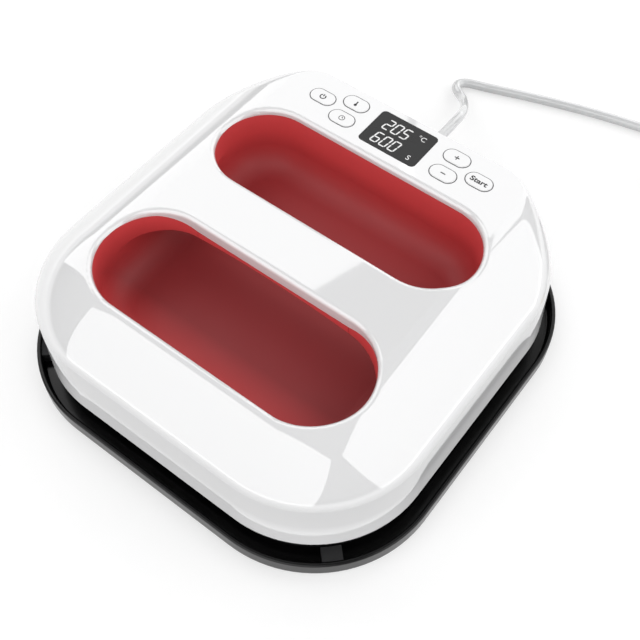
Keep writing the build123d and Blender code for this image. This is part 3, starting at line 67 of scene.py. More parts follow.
# Cord, in metres: its route from the strain relief to the coil, then the coil and the plug's end.
CORD_RADIUS = 0.0035
CORD_EXIT = (0.0, 0.161, 0.0475)
CORD_ROUTE = [
    (0.0, 0.161, 0.0475),
    (0.0, 0.178, 0.0475),
    (-0.003, 0.194, 0.0415),
    (-0.014, 0.218, 0.0225),
    (-0.025, 0.236, 0.009),
    (-0.0405, 0.2475, 0.0046),
    (-0.0385, 0.2575, 0.0036),
    (-0.020, 0.2632, 0.0036),
    (0.009, 0.2741, 0.0036),
    (0.049, 0.287, 0.0036),
    (0.076, 0.294, 0.0036),
    (0.104, 0.3002, 0.0036),
    (0.132, 0.306, 0.0044),
    (0.160, 0.3122, 0.0044),
]
CORD_SIDES = 5
CURVE_STEPS = 6
COIL_LEAD = 0.007
COIL_RADIUS = 0.046
COIL_STEP = 0.0038
COIL_HALF_TURNS = 4
COIL_HEIGHT = 0.0044
COIL_RISE = 0.0076
POINTS_PER_HALF_TURN = 12
TAIL_LENGTH = 0.030

# Strain relief: its plain taper from root to tip, and the radius that it is hollowed down to
RELIEF_ROOT_Y = 0.13198
RELIEF_ROOT_RADIUS = 0.0070
RELIEF_TIP_RADIUS = 0.0049
RELIEF_SLIM_RADIUS = 0.0037
RELIEF_REACH = 0.0001
SHARP_FROM = math.radians(35)

# Studio: four large panels lean over the object like the walls of a tent. Each has its upper corner, its
# upper edge and its side, all for a height of 1, and its height in metres.
WORLD_LEVEL = 0.33
HORIZON_LOW = 0.05
HORIZON_HIGH = 0.14
FLOOR_SIDE = 14.0
FLOOR_GREY = (0.5, 0.5, 0.5)
FLOOR_ROUGHNESS = 0.9
FLOOR_LIFT = 0.5
FLOOR_FAR_LIFT = 1.0
FLOOR_NEAR = 0.7
FLOOR_FAR = 2.4
PANEL_RADIANCE = 1.38
PANELS = [
    ("front_panel", (-0.655, -0.462, 1.0), (1.27, 0.0, 0.0), (0.09, -0.44, -0.96), 3.0),
    ("right_panel", (0.732, -0.297, 1.0), (-0.427, 1.013, 0.0), (0.332, 0.140, -0.96), 3.0),
    ("left_panel", (-0.653, -0.276, 1.0), (0.185, 1.20, 0.298), (-0.364, 0.272, -0.874), 3.0),
    ("rear_panel", (-0.42, 0.74, 1.0), (0.72, 0.0, 0.0), (0.0, 0.42, -0.96), 3.0),
]

# Outer form of the top shell, in metres
SHELL_WIDTH = 0.2662
SHELL_DEPTH = 0.2708
SHELL_CORNER = 0.0743
SHELL_BOTTOM = 0.0214
SHELL_SHOULDER = 0.0641
SHELL_TOP = 0.0926
SIDE_DRAFT = 0.0009
BACK_LEAN = 0.0047
BACK_ROUND = 0.0079
CROWN_ROUND = 0.0453
CROWN_CORNER = 0.0187
CROWN_EXPONENT = 1.4
SKIN_EDGE = 0.0035
SHORTEST_EDGE = 0.000003
SKIN_DIVISIONS = 6
SKIN_REACH = 0.0002
NORMAL_STEP = 0.00002
STEEPEST_MEETING = math.cos(math.radians(30))

# Display: its centre, the cell of one digit and the places of the rows, in metres from that centre
DISPLAY_CENTRE = (0.0, 0.1023)
DIGIT_WIDTH = 0.0044
DIGIT_HEIGHT = 0.0088
DIGIT_PITCH = 0.0066
DIGIT_STROKE = 0.00095
DIGIT_GAP = 0.00008
DIGIT_SLANT = 0.16
DIGIT_ROWS = {"205": (-0.0046, 0.0058), "600": (-0.0046, -0.0072)}
DIGIT_SEGMENTS = {"0": "abcdef", "2": "abged", "5": "afgcd", "6": "afgedc"}
UNITS = {"\u00b0C": (0.0124, 0.0088), "S": (0.0141, -0.0097)}
UNIT_HEIGHT = 0.0040

# Keys: size, the painted shade in the gaps round them, and marks
KEYS = ("power", "temperature", "timer", "plus", "minus", "start")
KEY_LENGTH = 0.0178
KEY_WIDTH = 0.0109
GAP_SHADE_WIDTH = 0.0006
MARK_STROKE = 0.00080
MARK_RADIUS = 0.0019
START_HEIGHT = 0.0040
START_WIDTH = 0.0120
START_WEIGHT = 0.03
PRINT_AND_SHADE_RISE = 0.00003
PRINT_AND_SHADE_DEPTH = 0.0001

# Marks: half the opening of the power sign's ring in degrees, the rest as shares of their radius and stroke
POWER_OPENING = 35
POWER_BAR_TOP = 1.25
STEM_TOP = 1.15
STEM_STROKE = 1.2
BULB_RADIUS = 0.55
BULB_DEPTH = 0.75
CLOCK_STROKE = 0.6
HAND_STROKE = 0.7
LONG_HAND = 0.65
SHORT_HAND = 0.5

# Colours, as linear values. The shell's walls have their tones and coats by the share of the height up to
# WALL_TOP; the tones are painted shade that greys the walls and painted light towards their lower edge. The
# red bowl has painted shade, deepest on its floor, and painted light towards its rim, front wall and rear.
WHITE = (0.74, 0.74, 0.745)
LACQUER_ROUGHNESS = 0.04
LACQUER_IOR = 1.9
COAT_ROUGHNESS = 0.02
COAT_IOR = 1.6
WALL_TOP = 0.0685
# painted shade greys the walls, painted light lightens them towards their lower edge
WALL_PAINTED_SHADING = (
    (0.0, (0.92, 0.92, 0.925)),
    (0.30, (0.84, 0.84, 0.845)),
    (0.50, (0.66, 0.66, 0.665)),
    (0.88, (0.62, 0.62, 0.625)),
    (1.0, WHITE),
)
WALL_COATS = ((0.88, (0.0, 0.0, 0.0)), (1.0, (1.0, 1.0, 1.0)))
# the red bowl's painted light and painted shade: its lit tone, its shaded tone and where each falls
RED_PAINTED_LIT = (0.64, 0.062, 0.066)
RED_PAINTED_SHADE = (0.30, 0.034, 0.037)
RED_FLOOR_Z = 0.046
RED_RIM_Z = 0.084
RED_MIDDLE_Y = -0.060
RED_FRONT_Y = -0.083
RED_FRONT_PAINTED_LIGHT = 0.80
RED_BRIDGE_Y = -0.020
RED_REAR_Y = 0.030
RED_REAR_PAINTED_LIGHT = 0.28
BLACK = (0.012, 0.012, 0.013)
TRAY_BLACK = (0.002, 0.002, 0.0022)
DARK_GREY = (0.014, 0.014, 0.0143)
CORD_GREY = (0.62, 0.625, 0.63)
INK_GREY = (0.012, 0.012, 0.013)
# painted shade in the gaps round the keys
GAP_SHADE_GREY = (0.07, 0.07, 0.073)
DIGIT_WHITE = (0.80, 0.80, 0.80)

# Unevenness of the materials: noise per metre, the part of the noise that is used, and the range of a value
NOISE_RANGE = (0.3, 0.7)
TONE_RANGE = (0.35, 0.65)
MOTTLE_SCALE = 60
MOTTLE = (0.97, 1.03)
GLOSS_SCALE = 45
GLOSS = (0.85, 1.2)
METAL_GLOSS_SCALE = 90
METAL_GLOSS = (0.8, 1.3)
METAL_GRAIN_SCALE = 400
METAL_GRAIN_DEPTH = 0.00002
LACQUER_MOTTLE_SCALE = 8
LACQUER_MOTTLE = (0.99, 1.0)
LACQUER_GLOSS_SCALE = 30
LACQUER_GLOSS = (0.75, 1.25)


def new_object(name, data):
    made = bpy.data.objects.new(name, data)
    scene.collection.objects.link(made)
    return made


def new_mesh(name, form):
    """A mesh with the faces of a form, which ends there."""
    mesh = bpy.data.meshes.new(name)
    form.to_mesh(mesh)
    form.free()
    return mesh


def smooth(mesh):
    for polygon in mesh.polygons:
        polygon.use_smooth = True


def standing(place, x_axis, y_axis, z_axis):
    """The matrix of something at a place with these axes."""
    return Matrix.Translation(place) @ Matrix((x_axis, y_axis, z_axis)).transposed().to_4x4()


def shader(material, kind):
    return next(node for node in material.node_tree.nodes if node.type == kind)


def surface(name, colour, roughness, metallic=0.0, ior=1.5, coat=0.0):
    """A new material with plain values on its shader's sockets."""
    material = bpy.data.materials.new(name)
    material.use_nodes = True
    principled = shader(material, "BSDF_PRINCIPLED")
    principled.inputs["Base Color"].default_value = (*colour, 1.0)
    principled.inputs["Roughness"].default_value = roughness
    principled.inputs["Metallic"].default_value = metallic
    principled.inputs["IOR"].default_value = ior
    principled.inputs["Coat Weight"].default_value = coat
    return material


def add(material, kind, **inputs):
    """A node with values on its inputs; names of two words use an underscore."""
    node = material.node_tree.nodes.new(kind)
    for name, value in inputs.items():
        node.inputs[name.replace("_", " ")].default_value = value
    return node


def join(material, source, target):
    material.node_tree.links.new(source, target)


def object_coordinates(material):
    return add(material, "ShaderNodeTexCoord").outputs["Object"]


def separate(material, vector):
    """The X, Y and Z of a vector."""
    node = add(material, "ShaderNodeSeparateXYZ")
    join(material, vector, node.inputs["Vector"])
    return node.outputs


def rescale(material, value, first, last, low=0.0, high=1.0):
    """A value between first and last, moved to the range from low to high and kept in it."""
    node = add(material, "ShaderNodeMapRange", From_Min=first, From_Max=last, To_Min=low, To_Max=high)
    join(material, value, node.inputs["Value"])
    return node.outputs["Result"]


def combine(material, operation, first, second):
    node = add(material, "ShaderNodeMath")
    node.operation = operation
    join(material, first, node.inputs[0])
    join(material, second, node.inputs[1])
    return node.outputs["Value"]


def noise(material, scale, detail=2.0):
    node = add(material, "ShaderNodeTexNoise", Scale=scale, Detail=detail, Roughness=0.5)
    join(material, object_coordinates(material), node.inputs["Vector"])
    return node.outputs["Fac"]


def ramp(material, value, *stops):
    """A colour ramp from (position, colour) stops."""
    node = add(material, "ShaderNodeValToRGB")
    elements = node.color_ramp.elements
    while len(elements) < len(stops):
        elements.new(0.5)
    for element, (position, colour) in zip(elements, stops):
        element.position = position
        element.color = (*colour, 1.0)
    join(material, value, node.inputs["Fac"])
    return node.outputs["Color"]


def drive(material, source, socket):
    """Gives one of the shader's sockets a value that differs over the surface."""
    join(material, source, shader(material, "BSDF_PRINCIPLED").inputs[socket])


def vary_roughness(material, scale, low, high):
    drive(material, rescale(material, noise(material, scale), *NOISE_RANGE, low, high), "Roughness")


def vary_colour(material, scale, colour, factors):
    """Mottling between two shades of a colour."""
    shades = [tuple(channel * factor for channel in colour) for factor in factors]
    drive(material, ramp(material, noise(material, scale, 3.0), *zip(TONE_RANGE, shades)), "Base Color")


def grain(material, scale, depth):
    """Fine relief in metres of depth."""
    bump = add(material, "ShaderNodeBump", Strength=1.0, Distance=depth)
    join(material, noise(material, scale), bump.inputs["Height"])
    drive(material, bump.outputs["Normal"], "Normal")


def moulded(name, colour, rough, scale, depth, ior=1.5, coat=0.0):
    """Moulded plastic: faint mottling, uneven gloss and a fine grain of this scale and depth."""
    material = surface(name, colour, rough, ior=ior, coat=coat)
    vary_colour(material, MOTTLE_SCALE, colour, MOTTLE)
    vary_roughness(material, GLOSS_SCALE, GLOSS[0] * rough, GLOSS[1] * rough)
    grain(material, scale, depth)
    return material


def metal(name, colour, rough):
    """Bare metal with uneven gloss and a fine relief."""
    material = surface(name, colour, rough, metallic=1.0)
    vary_roughness(material, METAL_GLOSS_SCALE, METAL_GLOSS[0] * rough, METAL_GLOSS[1] * rough)
    grain(material, METAL_GRAIN_SCALE, METAL_GRAIN_DEPTH)
    return material


# Materials, one for each slot of the parts, two inks and the painted shade of the key gaps


def make_lacquer(name):
    """Polished lacquer over white plastic."""
    material = surface(name, WHITE, LACQUER_ROUGHNESS, ior=LACQUER_IOR, coat=1.0)
    principled = shader(material, "BSDF_PRINCIPLED")
    principled.inputs["Coat Roughness"].default_value = COAT_ROUGHNESS
    principled.inputs["Coat IOR"].default_value = COAT_IOR
    low, high = (share * LACQUER_ROUGHNESS for share in LACQUER_GLOSS)
    vary_roughness(material, LACQUER_GLOSS_SCALE, low, high)
    return material


def make_key_white():
    material = make_lacquer("key_white")
    vary_colour(material, LACQUER_MOTTLE_SCALE, WHITE, LACQUER_MOTTLE)
    return material


def make_shell_white():
    """Plainer on the walls than on the crown, with painted shade on the walls and painted light at their
    lower edge.
    """
    material = make_lacquer("shell_white")
    place = separate(material, object_coordinates(material))
    height = rescale(material, place["Z"], SHELL_BOTTOM, WALL_TOP)
    # painted shade and painted light by height on the shell's walls
    drive(material, ramp(material, height, *WALL_PAINTED_SHADING), "Base Color")
    drive(material, ramp(material, height, *WALL_COATS), "Coat Weight")
    return material


def make_grip_red():
    """Satin red plastic with painted shade deepest on the bowl's floor and painted light towards its rim,
    front and rear.
    """
    material = surface("grip_red", RED_PAINTED_LIT, 0.5)
    place = separate(material, object_coordinates(material))
    # painted shade on the bowl's floor, painted light towards its rim, its front wall and its rear
    height = rescale(material, place["Z"], RED_FLOOR_Z, RED_RIM_Z)
    front = rescale(material, place["Y"], RED_MIDDLE_Y, RED_FRONT_Y, 0.0, RED_FRONT_PAINTED_LIGHT)
    rear = rescale(material, place["Y"], RED_BRIDGE_Y, RED_REAR_Y, 0.0, RED_REAR_PAINTED_LIGHT)
    share = combine(material, "ADD", combine(material, "MAXIMUM", height, front), rear)
    drive(material, ramp(material, share, (0.0, RED_PAINTED_SHADE), (1.0, RED_PAINTED_LIT)), "Base Color")
    vary_roughness(material, 40, 0.50, 0.58)
    grain(material, 1500, 0.000004)
    return material


MATERIALS = {
    "shell_white": make_shell_white(),
    "grip_red": make_grip_red(),
    "tray_black": moulded("tray_black", TRAY_BLACK, 0.22, 1800, 0.000004, ior=1.4),
    "tray_mat_felt": moulded("tray_mat_felt", DARK_GREY, 0.9, 900, 0.0002),
    "black_rubber": moulded("black_rubber", BLACK, 0.7, 1200, 0.00003),
    "housing_black": moulded("housing_black", TRAY_BLACK, 0.4, 1500, 0.00001),
    "plate_metal": metal("plate_metal", (0.58, 0.58, 0.56), 0.32),
    "element_steel": metal("element_steel", (0.35, 0.33, 0.31), 0.4),
    "white_ceramic": moulded("white_ceramic", (0.75, 0.74, 0.70), 0.4, 900, 0.00002),
    "white_fibre": moulded("white_fibre", (0.70, 0.69, 0.66), 0.95, 500, 0.0004),
    "shield_steel": metal("shield_steel", (0.60, 0.60, 0.60), 0.35),
    "screw_steel": metal("screw_steel", (0.50, 0.50, 0.51), 0.3),
    "cutout_brown": moulded("cutout_brown", (0.06, 0.025, 0.012), 0.35, 700, 0.00002),
    "sensor_steel": metal("sensor_steel", (0.62, 0.62, 0.62), 0.25),
    "lead_white": moulded("lead_white", (0.72, 0.72, 0.70), 0.5, 900, 0.00002),
    "display_dark": moulded("display_dark", DARK_GREY, 0.25, 1500, 0.000002, ior=1.38),
    "display_panel": moulded("display_panel", (0.02, 0.02, 0.022), 0.4, 900, 0.00001),
    "key_white": make_key_white(),
    "switch_black": moulded("switch_black", BLACK, 0.5, 1200, 0.00002),
    "board_green": moulded("board_green", (0.015, 0.09, 0.035), 0.4, 600, 0.00002),
    "transformer_yellow": moulded("transformer_yellow", (0.55, 0.36, 0.05), 0.5, 900, 0.00002),
    "sink_metal": metal("sink_metal", (0.62, 0.62, 0.63), 0.35),
    "capacitor_black": moulded("capacitor_black", (0.015, 0.016, 0.02), 0.35, 900, 0.00001),
    "fuse_glass": moulded("fuse_glass", (0.75, 0.78, 0.78), 0.08, 900, 0.000002),
    "ribbon_grey": moulded("ribbon_grey", (0.35, 0.35, 0.36), 0.5, 900, 0.00002),
    "cord_grey": moulded("cord_grey", CORD_GREY, 0.10, 900, 0.0000015, ior=1.7, coat=1.0),
    "tie_black": moulded("tie_black", BLACK, 0.7, 1500, 0.00004),
    "pin_brass": metal("pin_brass", (0.70, 0.55, 0.28), 0.25),
}
INK = moulded("mark_ink", INK_GREY, 0.35, 2500, 0.000002)
GAP_SHADE_MATERIAL = moulded("painted_gap_shade", GAP_SHADE_GREY, 0.35, 2500, 0.000002)
DIGITS = moulded("digit_white", DIGIT_WHITE, 0.35, 2500, 0.000002)


def finish_cad_nodes():
    """Each CAD node takes the material of its slot."""
    for entry in frame["record"]["subparts"]:
        mesh = NODES[entry["node"]].data
        mesh.materials.clear()
        mesh.materials.append(MATERIALS[entry["material_slot"]])
        for polygon in mesh.polygons:
            polygon.material_index = 0


# Shell


def shell_level(height):
    """The shell's half width, its reach to the front and to the back, and its corner radius at a height."""
    half, reach = SHELL_WIDTH / 2, SHELL_DEPTH / 2
    if height <= SHELL_SHOULDER:
        share = max(0.0, (height - SHELL_BOTTOM) / (SHELL_SHOULDER - SHELL_BOTTOM))
        draft = SIDE_DRAFT * share
        return half - draft, reach - draft, reach - draft - BACK_LEAN * share, SHELL_CORNER - draft
    rise = min(1.0, (height - SHELL_SHOULDER) / (SHELL_TOP - SHELL_SHOULDER))
    sine = rise ** (CROWN_EXPONENT / 2)
    inwards = 1 - math.sqrt(1 - sine * sine) ** (2 / CROWN_EXPONENT)
    corner = SHELL_CORNER - SIDE_DRAFT
    return (
        half - SIDE_DRAFT - CROWN_ROUND * inwards,
        reach - SIDE_DRAFT - CROWN_ROUND * inwards,
        reach - SIDE_DRAFT - BACK_LEAN - BACK_ROUND * inwards,
        corner - (corner - CROWN_CORNER) * inwards,
    )


def shell_distance(x, y, z):
    """How far a point lies outside the shell's outline at its own height."""
    half, front, back, corner = shell_level(z)
    past_side = abs(x) - (half - corner)
    past_end = abs(y - (back - front) / 2) - ((front + back) / 2 - corner)
    outside = math.hypot(max(past_side, 0), max(past_end, 0))
    return outside + min(max(past_side, past_end), 0) - corner


def shell_slope(point):
    """The direction in which the distance from the shell grows, not yet of length 1."""
    if point.z > SHELL_TOP - NORMAL_STEP:
        return Vector((0, 0, 1))
    x, y, z = point
    step = NORMAL_STEP
    changes = (
        shell_distance(x + step, y, z) - shell_distance(x - step, y, z),
        shell_distance(x, y + step, z) - shell_distance(x, y - step, z),
        shell_distance(x, y, z + step) - shell_distance(x, y, z - step),
    )
    return Vector(changes) / (2 * step)


def on_crown(point):
    return point.z > SHELL_SHOULDER - NORMAL_STEP and abs(shell_distance(*point)) < SKIN_REACH


def worth_dividing(edge):
    """Whether an edge of the crown is long, and doesn't lie along its upper or lower border."""
    if edge.calc_length() < SKIN_EDGE:
        return False
    first, second = (vertex.co for vertex in edge.verts)
    middle = (first.z + second.z) / 2
    if middle > SHELL_TOP - NORMAL_STEP or middle < SHELL_SHOULDER + NORMAL_STEP:
        return False
    return on_crown(first) and on_crown(second)


def make_shell():
    """The top shell on a finer mesh: new points lie on the crown's form, which also gives the normals."""
    source = NODES["top_shell"].data
    form = bmesh.new()
    form.from_mesh(source)
    layer = form.verts.layers.float_vector.new("form_normal")
    form.verts.ensure_lookup_table()
    for loop, normal in zip(source.loops, source.corner_normals):
        form.verts[loop.vertex_index][layer] = normal.vector
    first_new = len(form.verts)
    for _ in range(SKIN_DIVISIONS):
        long_edges = [edge for edge in form.edges if worth_dividing(edge)]
        bmesh.ops.subdivide_edges(form, edges=long_edges, cuts=1, use_grid_fill=True)
        bmesh.ops.triangulate(form, faces=[face for face in form.faces if len(face.verts) > 3])
        form.verts.ensure_lookup_table()
        for vertex in form.verts[first_new:]:
            slope = shell_slope(vertex.co)
            vertex.co -= slope * shell_distance(*vertex.co) / slope.length_squared
        first_new = len(form.verts)
    bmesh.ops.dissolve_degenerate(form, edges=form.edges[:], dist=SHORTEST_EDGE)
    normals = []
    for vertex in form.verts:
        normal = vertex[layer].normalized()
        if on_crown(vertex.co):
            skin_normal = shell_slope(vertex.co).normalized()
            if skin_normal.dot(normal) > STEEPEST_MEETING:
                normal = skin_normal
        normals.append(normal)
    mesh = new_mesh("top_shell_skin", form)
    smooth(mesh)
    mesh.normals_split_custom_set_from_vertices(normals)
    mesh.materials.append(MATERIALS["shell_white"])
    shell = new_object("top_shell_skin", mesh)
    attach(shell, "press")
    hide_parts("top_shell")


# Display and keys


def bar(start, end, stroke):
    """A straight stroke with pointed ends, as one polygon."""
    start, end = Vector(start), Vector(end)
    along = (end - start).normalized() * stroke / 2
    across = Vector((-along.y, along.x))
    near, far = start + along, end - along
    return [start, near - across, far - across, end, far + across, near + across]


def arc(radius, stroke, first, last, steps=32):
    """A curved stroke as a row of polygons, angles in degrees."""
    inner, outer = radius - stroke / 2, radius + stroke / 2
    rays = []
    for step in range(steps + 1):
        angle = math.radians(first + (last - first) * step / steps)
        rays.append(Vector((math.cos(angle), math.sin(angle))))
    return [[inner * a, outer * a, outer * b, inner * b] for a, b in zip(rays, rays[1:])]


def disc(radius, centre, steps=24):
    angles = [math.tau * step / steps for step in range(steps)]
    return [Vector(centre) + radius * Vector((math.cos(angle), math.sin(angle))) for angle in angles]


def pill(length, width, steps=16):
    """The outline of a pill-shaped key."""
    radius = width / 2
    reach = length / 2 - radius
    points = []
    for side, first in ((1, -90), (-1, 90)):
        for step in range(steps + 1):
            angle = math.radians(first + 180 * step / steps)
            points.append(Vector((side * reach + radius * math.cos(angle), radius * math.sin(angle))))
    return points


def place_print_and_shade(name, mesh, body, material):
    mesh.materials.clear()
    mesh.materials.append(material)
    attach(new_object(name, mesh), body)


def print_and_shade_sheet(name, polygons, place, height, body, material):
    """Thin ink, and the painted shade of the key gaps, in the form of polygons round a place, on the face
    at that height.
    """
    form = bmesh.new()
    top = height + PRINT_AND_SHADE_RISE
    for polygon in polygons:
        corners = [form.verts.new((place[0] + point[0], place[1] + point[1], top)) for point in polygon]
        form.faces.new(corners)
    bmesh.ops.remove_doubles(form, verts=form.verts[:], dist=PRINT_AND_SHADE_RISE / 10)
    grown = bmesh.ops.extrude_face_region(form, geom=form.faces[:], use_keep_orig=True)
    for part in grown["geom"]:
        if isinstance(part, bmesh.types.BMVert):
            part.co.z -= PRINT_AND_SHADE_DEPTH
    bmesh.ops.recalc_face_normals(form, faces=form.faces[:])
    place_print_and_shade(name, new_mesh(name, form), body, material)


def lettering(name, words, place, height, size, body, material, width=None, weight=0.0):
    """Words in thin ink on the face at that height, centred on a place and as high as size."""
    curve = bpy.data.curves.new(name, "FONT")
    curve.body = words
    curve.offset = weight
    curve.extrude = 1.0
    mesh = plain_mesh_of(curve)
    corners = [vertex.co for vertex in mesh.vertices]
    low = Vector((min(c.x for c in corners), min(c.y for c in corners)))
    high = Vector((max(c.x for c in corners), max(c.y for c in corners)))
    middle = (low + high) / 2
    scale_y = size / (high.y - low.y)
    scale_x = width / (high.x - low.x) if width else scale_y
    for vertex in mesh.vertices:
        x = place[0] + (vertex.co.x - middle.x) * scale_x
        y = place[1] + (vertex.co.y - middle.y) * scale_y
        z = height + PRINT_AND_SHADE_RISE - (0 if vertex.co.z > 0 else PRINT_AND_SHADE_DEPTH)
        vertex.co = (x, y, z)
    place_print_and_shade(name, mesh, body, material)


def digit_polygons(figure, left, low):
    """The lit segments of one figure, slanted, from its lower left corner."""
    w, h, gap = DIGIT_WIDTH, DIGIT_HEIGHT, DIGIT_GAP
    ends = {
        "a": ((0, h), (w, h)),
        "b": ((w, h), (w, h / 2)),
        "c": ((w, h / 2), (w, 0)),
        "d": ((0, 0), (w, 0)),
        "e": ((0, 0), (0, h / 2)),
        "f": ((0, h / 2), (0, h)),
        "g": ((0, h / 2), (w, h / 2)),
    }
    polygons = []
    for segment in DIGIT_SEGMENTS[figure]:
        start, end = (Vector(point) for point in ends[segment])
        inset = (end - start).normalized() * gap
        stroke = bar(start + inset, end - inset, DIGIT_STROKE)
        polygons.append([
            Vector((left + point.x + DIGIT_SLANT * (point.y - h / 2), low + point.y)) for point in stroke
        ])
    return polygons


def make_display():
    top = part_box("display_window")[1][2]
    for words, (x, y) in DIGIT_ROWS.items():
        row_left = x - DIGIT_PITCH * (len(words) - 1) / 2 - DIGIT_WIDTH / 2
        polygons = []
        for index, figure in enumerate(words):
            polygons += digit_polygons(figure, row_left + index * DIGIT_PITCH, y - DIGIT_HEIGHT / 2)
        print_and_shade_sheet(f"digits_{words}", polygons, DISPLAY_CENTRE, top, "press", DIGITS)
    for (words, (x, y)), name in zip(UNITS.items(), ("degree_unit", "second_unit")):
        place = (DISPLAY_CENTRE[0] + x, DISPLAY_CENTRE[1] + y)
        lettering(name, words, place, top, UNIT_HEIGHT, "press", DIGITS)


def key_marks():
    """The sign on each key, as polygons round its centre."""
    reach, stroke = MARK_RADIUS, MARK_STROKE
    ring = arc(reach, stroke, 90 + POWER_OPENING, 450 - POWER_OPENING)
    stem = bar((0, -reach), (0, STEM_TOP * reach), STEM_STROKE * stroke)
    bulb = disc(BULB_RADIUS * reach, (0, -BULB_DEPTH * reach))
    clock = arc(reach, CLOCK_STROKE * stroke, 0, 360)
    hand_ends = ((0, LONG_HAND * reach), (SHORT_HAND * reach, 0))
    hands = [bar((0, 0), end, HAND_STROKE * stroke) for end in hand_ends]
    across = bar((-reach, 0), (reach, 0), stroke)
    uprights = [bar((0, side * stroke / 2), (0, side * reach), stroke) for side in (-1, 1)]
    return {
        "power": ring + [bar((0, 0), (0, POWER_BAR_TOP * reach), stroke)],
        "temperature": [stem, bulb],
        "timer": clock + hands,
        "plus": [across] + uprights,
        "minus": [across],
    }


def make_keys():
    gap_shades = []
    inner = pill(KEY_LENGTH, KEY_WIDTH)
    outer = pill(KEY_LENGTH + 2 * GAP_SHADE_WIDTH, KEY_WIDTH + 2 * GAP_SHADE_WIDTH)
    marks = key_marks()
    for key in KEYS:
        low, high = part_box(f"{key}_button")
        place = ((low[0] + high[0]) / 2, (low[1] + high[1]) / 2)
        top = high[2]
        if key == "start":
            lettering(
                "start_mark", "Start", place, top, START_HEIGHT, "start_key", INK,
                width=START_WIDTH, weight=START_WEIGHT,
            )
        else:
            print_and_shade_sheet(f"{key}_mark", marks[key], place, top, f"{key}_key", INK)
        # a ring of painted shade where the gap round each key lies
        for index in range(len(inner)):
            quad = [inner[index - 1], outer[index - 1], outer[index], inner[index]]
            gap_shades.append([point + Vector(place) for point in quad])
    print_and_shade_sheet("key_gap_shades", gap_shades, (0, 0), SHELL_TOP, "press", GAP_SHADE_MATERIAL)


# Cord


def coil_points():
    """Control points of the coil's turns, the plug's end last, from the end of the route."""
    last = Vector(CORD_ROUTE[-1])
    along = last - Vector(CORD_ROUTE[-2])
    turn = math.atan2(along.y, along.x)
    heading = Vector((math.cos(turn), math.sin(turn), 0))
    start = last + COIL_LEAD * heading
    centre = start + COIL_RADIUS * Vector((math.sin(turn), -math.cos(turn), 0))
    centre.z = 0
    place = Matrix.Translation(centre) @ Matrix.Rotation(turn, 4, "Z")
    radii = [COIL_RADIUS - COIL_STEP * k for k in range(COIL_HALF_TURNS)]
    top = COIL_HEIGHT + COIL_RISE
    halves = [(radius, COIL_HEIGHT, COIL_HEIGHT) for radius in radii]
    halves.append((COIL_RADIUS - COIL_STEP * COIL_HALF_TURNS, COIL_HEIGHT, top))
    halves += [(radius, top, top) for radius in reversed(radii)]
    points = []
    y = COIL_RADIUS
    side = 1
    for index, (radius, low, high) in enumerate(halves):
        share_of_half = 0.5 if index == len(halves) - 1 else 1.0
        count = round(POINTS_PER_HALF_TURN * share_of_half)
        for step in range(count):
            share = (step + 0.5) / count
            angle = math.pi * share_of_half * share
            x_local = side * radius * math.sin(angle)
            y_local = y - side * radius * (1 - math.cos(angle))
            points.append(place @ Vector((x_local, y_local, low + (high - low) * share)))
        if share_of_half == 1.0:
            y -= side * 2 * radius
            side = -side
        else:
            end = Vector((side * radius, y - side * radius, high))
            for reach in (COIL_LEAD, COIL_LEAD + TAIL_LENGTH / 2, COIL_LEAD + TAIL_LENGTH):
                points.append(place @ (end + Vector((0, -side * reach, 0))))
    return points


def nurbs(name, points):
    """A smooth curve with these control points."""
    curve = bpy.data.curves.new(name, "CURVE")
    curve.dimensions = "3D"
    spline = curve.splines.new("NURBS")
    spline.points.add(len(points) - 1)
    for target, point in zip(spline.points, points):
        target.co = (*point, 1.0)
    spline.order_u = 3
    spline.use_endpoint_u = True
    spline.resolution_u = CURVE_STEPS
    return curve


def plain_mesh_of(curve):
    holder = new_object("holder", curve)
    bpy.context.view_layer.update()
    graph = bpy.context.evaluated_depsgraph_get()
    mesh = bpy.data.meshes.new_from_object(holder.evaluated_get(graph))
    bpy.data.objects.remove(holder)
    return mesh


def make_relief():
    """The strain relief, whose taper is hollowed so that it meets the cord without a step."""
    form = bmesh.new()
    form.from_mesh(NODES["strain_relief"].data)
    tip = max(vertex.co.y for vertex in form.verts)
    for vertex in form.verts:
        share = (vertex.co.y - RELIEF_ROOT_Y) / (tip - RELIEF_ROOT_Y)
        radius = math.hypot(vertex.co.x, vertex.co.z - CORD_EXIT[2])
        straight = RELIEF_ROOT_RADIUS + (RELIEF_TIP_RADIUS - RELIEF_ROOT_RADIUS) * share
        if share > 0 and abs(radius - straight) < RELIEF_REACH:
            hollow = RELIEF_SLIM_RADIUS + (RELIEF_ROOT_RADIUS - RELIEF_SLIM_RADIUS) * (1 - share) ** 2
            vertex.co.x *= hollow / straight
            vertex.co.z = CORD_EXIT[2] + (vertex.co.z - CORD_EXIT[2]) * hollow / straight
    mesh = new_mesh("strain_relief_skin", form)
    smooth(mesh)
    mesh.set_sharp_from_angle(angle=SHARP_FROM)
    mesh.materials.append(MATERIALS["cord_grey"])
    relief = new_object("strain_relief_skin", mesh)
    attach(relief, "press")
    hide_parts("strain_relief")
    return relief


def make_cord():
    points = [Vector(point) for point in CORD_ROUTE] + coil_points()
    curve = nurbs("cord_line", points)
    line = [vertex.co.copy() for vertex in plain_mesh_of(curve).vertices]
    curve.bevel_depth = CORD_RADIUS
    curve.bevel_resolution = CORD_SIDES
    curve.use_fill_caps = True
    mesh = plain_mesh_of(curve)
    mesh.name = "power_cord"
    mesh.materials.clear()
    mesh.materials.append(MATERIALS["cord_grey"])
    smooth(mesh)
    cord = new_object("power_cord", mesh)
    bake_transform(cord)
    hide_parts("mains_cord", "cord_coil", "cord_tail")
    make_relief()


# Camera, lamps and floor


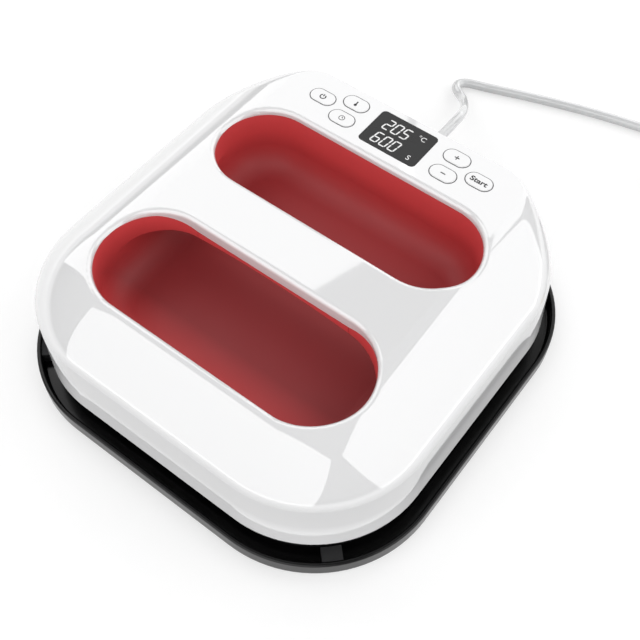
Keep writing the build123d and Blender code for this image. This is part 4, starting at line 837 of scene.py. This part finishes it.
def make_camera():
    data = bpy.data.cameras.new("camera")
    data.lens = LENS_MM
    data.sensor_width = SENSOR_MM
    data.clip_start = CLIP_NEAR
    data.clip_end = CLIP_FAR
    back = -Vector(CAMERA_FORWARD).normalized()
    right = Vector(CAMERA_RIGHT).normalized()
    up = back.cross(right).normalized()
    camera = new_object("camera", data)
    camera.matrix_world = standing(CAMERA_PLACE, right, up, back)
    scene.camera = camera


def make_panel(name, corner, across, down, height):
    """A large rectangular lamp. For a height of 1, corner is its upper left corner, across runs along its
    upper edge and down runs along its side."""
    corner = height * Vector(corner)
    across = height * Vector(across)
    down = height * Vector(down)
    centre = corner + (across + down) / 2
    data = bpy.data.lights.new(name, "AREA")
    data.shape = "RECTANGLE"
    data.size = across.length
    data.size_y = down.length
    data.energy = PANEL_RADIANCE * math.pi * across.length * down.length
    x_axis = across.normalized()
    z_axis = x_axis.cross(down.normalized()).normalized()
    if z_axis.dot(centre) < 0:
        z_axis = -z_axis
    lamp = new_object(name, data)
    lamp.matrix_world = standing(centre, x_axis, z_axis.cross(x_axis), z_axis)


def make_world():
    """A dim plain room whose walls turn white towards the floor."""
    world = bpy.data.worlds.new("studio")
    scene.world = world
    world.use_nodes = True
    background = shader(world, "BACKGROUND")
    background.inputs["Color"].default_value = (1, 1, 1, 1)
    direction = separate(world, add(world, "ShaderNodeTexCoord").outputs["Generated"])
    strength = rescale(world, direction["Z"], HORIZON_LOW, HORIZON_HIGH, 1.0, WORLD_LEVEL)
    strength.node.interpolation_type = "SMOOTHSTEP"
    join(world, strength, background.inputs["Strength"])


def make_floor():
    """A pale floor that shows white far from the object and keeps the object's soft shadow."""
    mesh = bpy.data.meshes.new("floor")
    half = FLOOR_SIDE / 2
    corners = [(-half, -half, 0), (half, -half, 0), (half, half, 0), (-half, half, 0)]
    mesh.from_pydata(corners, [], [(0, 1, 2, 3)])
    material = surface("floor_white", FLOOR_GREY, FLOOR_ROUGHNESS)
    shader(material, "BSDF_PRINCIPLED").inputs["Emission Color"].default_value = (1, 1, 1, 1)
    rays = add(material, "ShaderNodeLightPath").outputs
    seen = combine(material, "MAXIMUM", rays["Is Camera Ray"], rays["Is Glossy Ray"])
    seen = combine(material, "MAXIMUM", seen, rays["Is Transmission Ray"])
    distance = add(material, "ShaderNodeVectorMath")
    distance.operation = "LENGTH"
    join(material, object_coordinates(material), distance.inputs[0])
    away = distance.outputs["Value"]
    lift = rescale(material, away, FLOOR_NEAR, FLOOR_FAR, FLOOR_LIFT, FLOOR_FAR_LIFT)
    drive(material, combine(material, "MULTIPLY", seen, lift), "Emission Strength")
    mesh.materials.append(material)
    new_object("floor", mesh)


finish_cad_nodes()
make_shell()
make_display()
make_keys()
make_cord()
make_camera()
make_world()
make_floor()
for panel in PANELS:
    make_panel(*panel)
scene.view_settings.view_transform = "Standard"
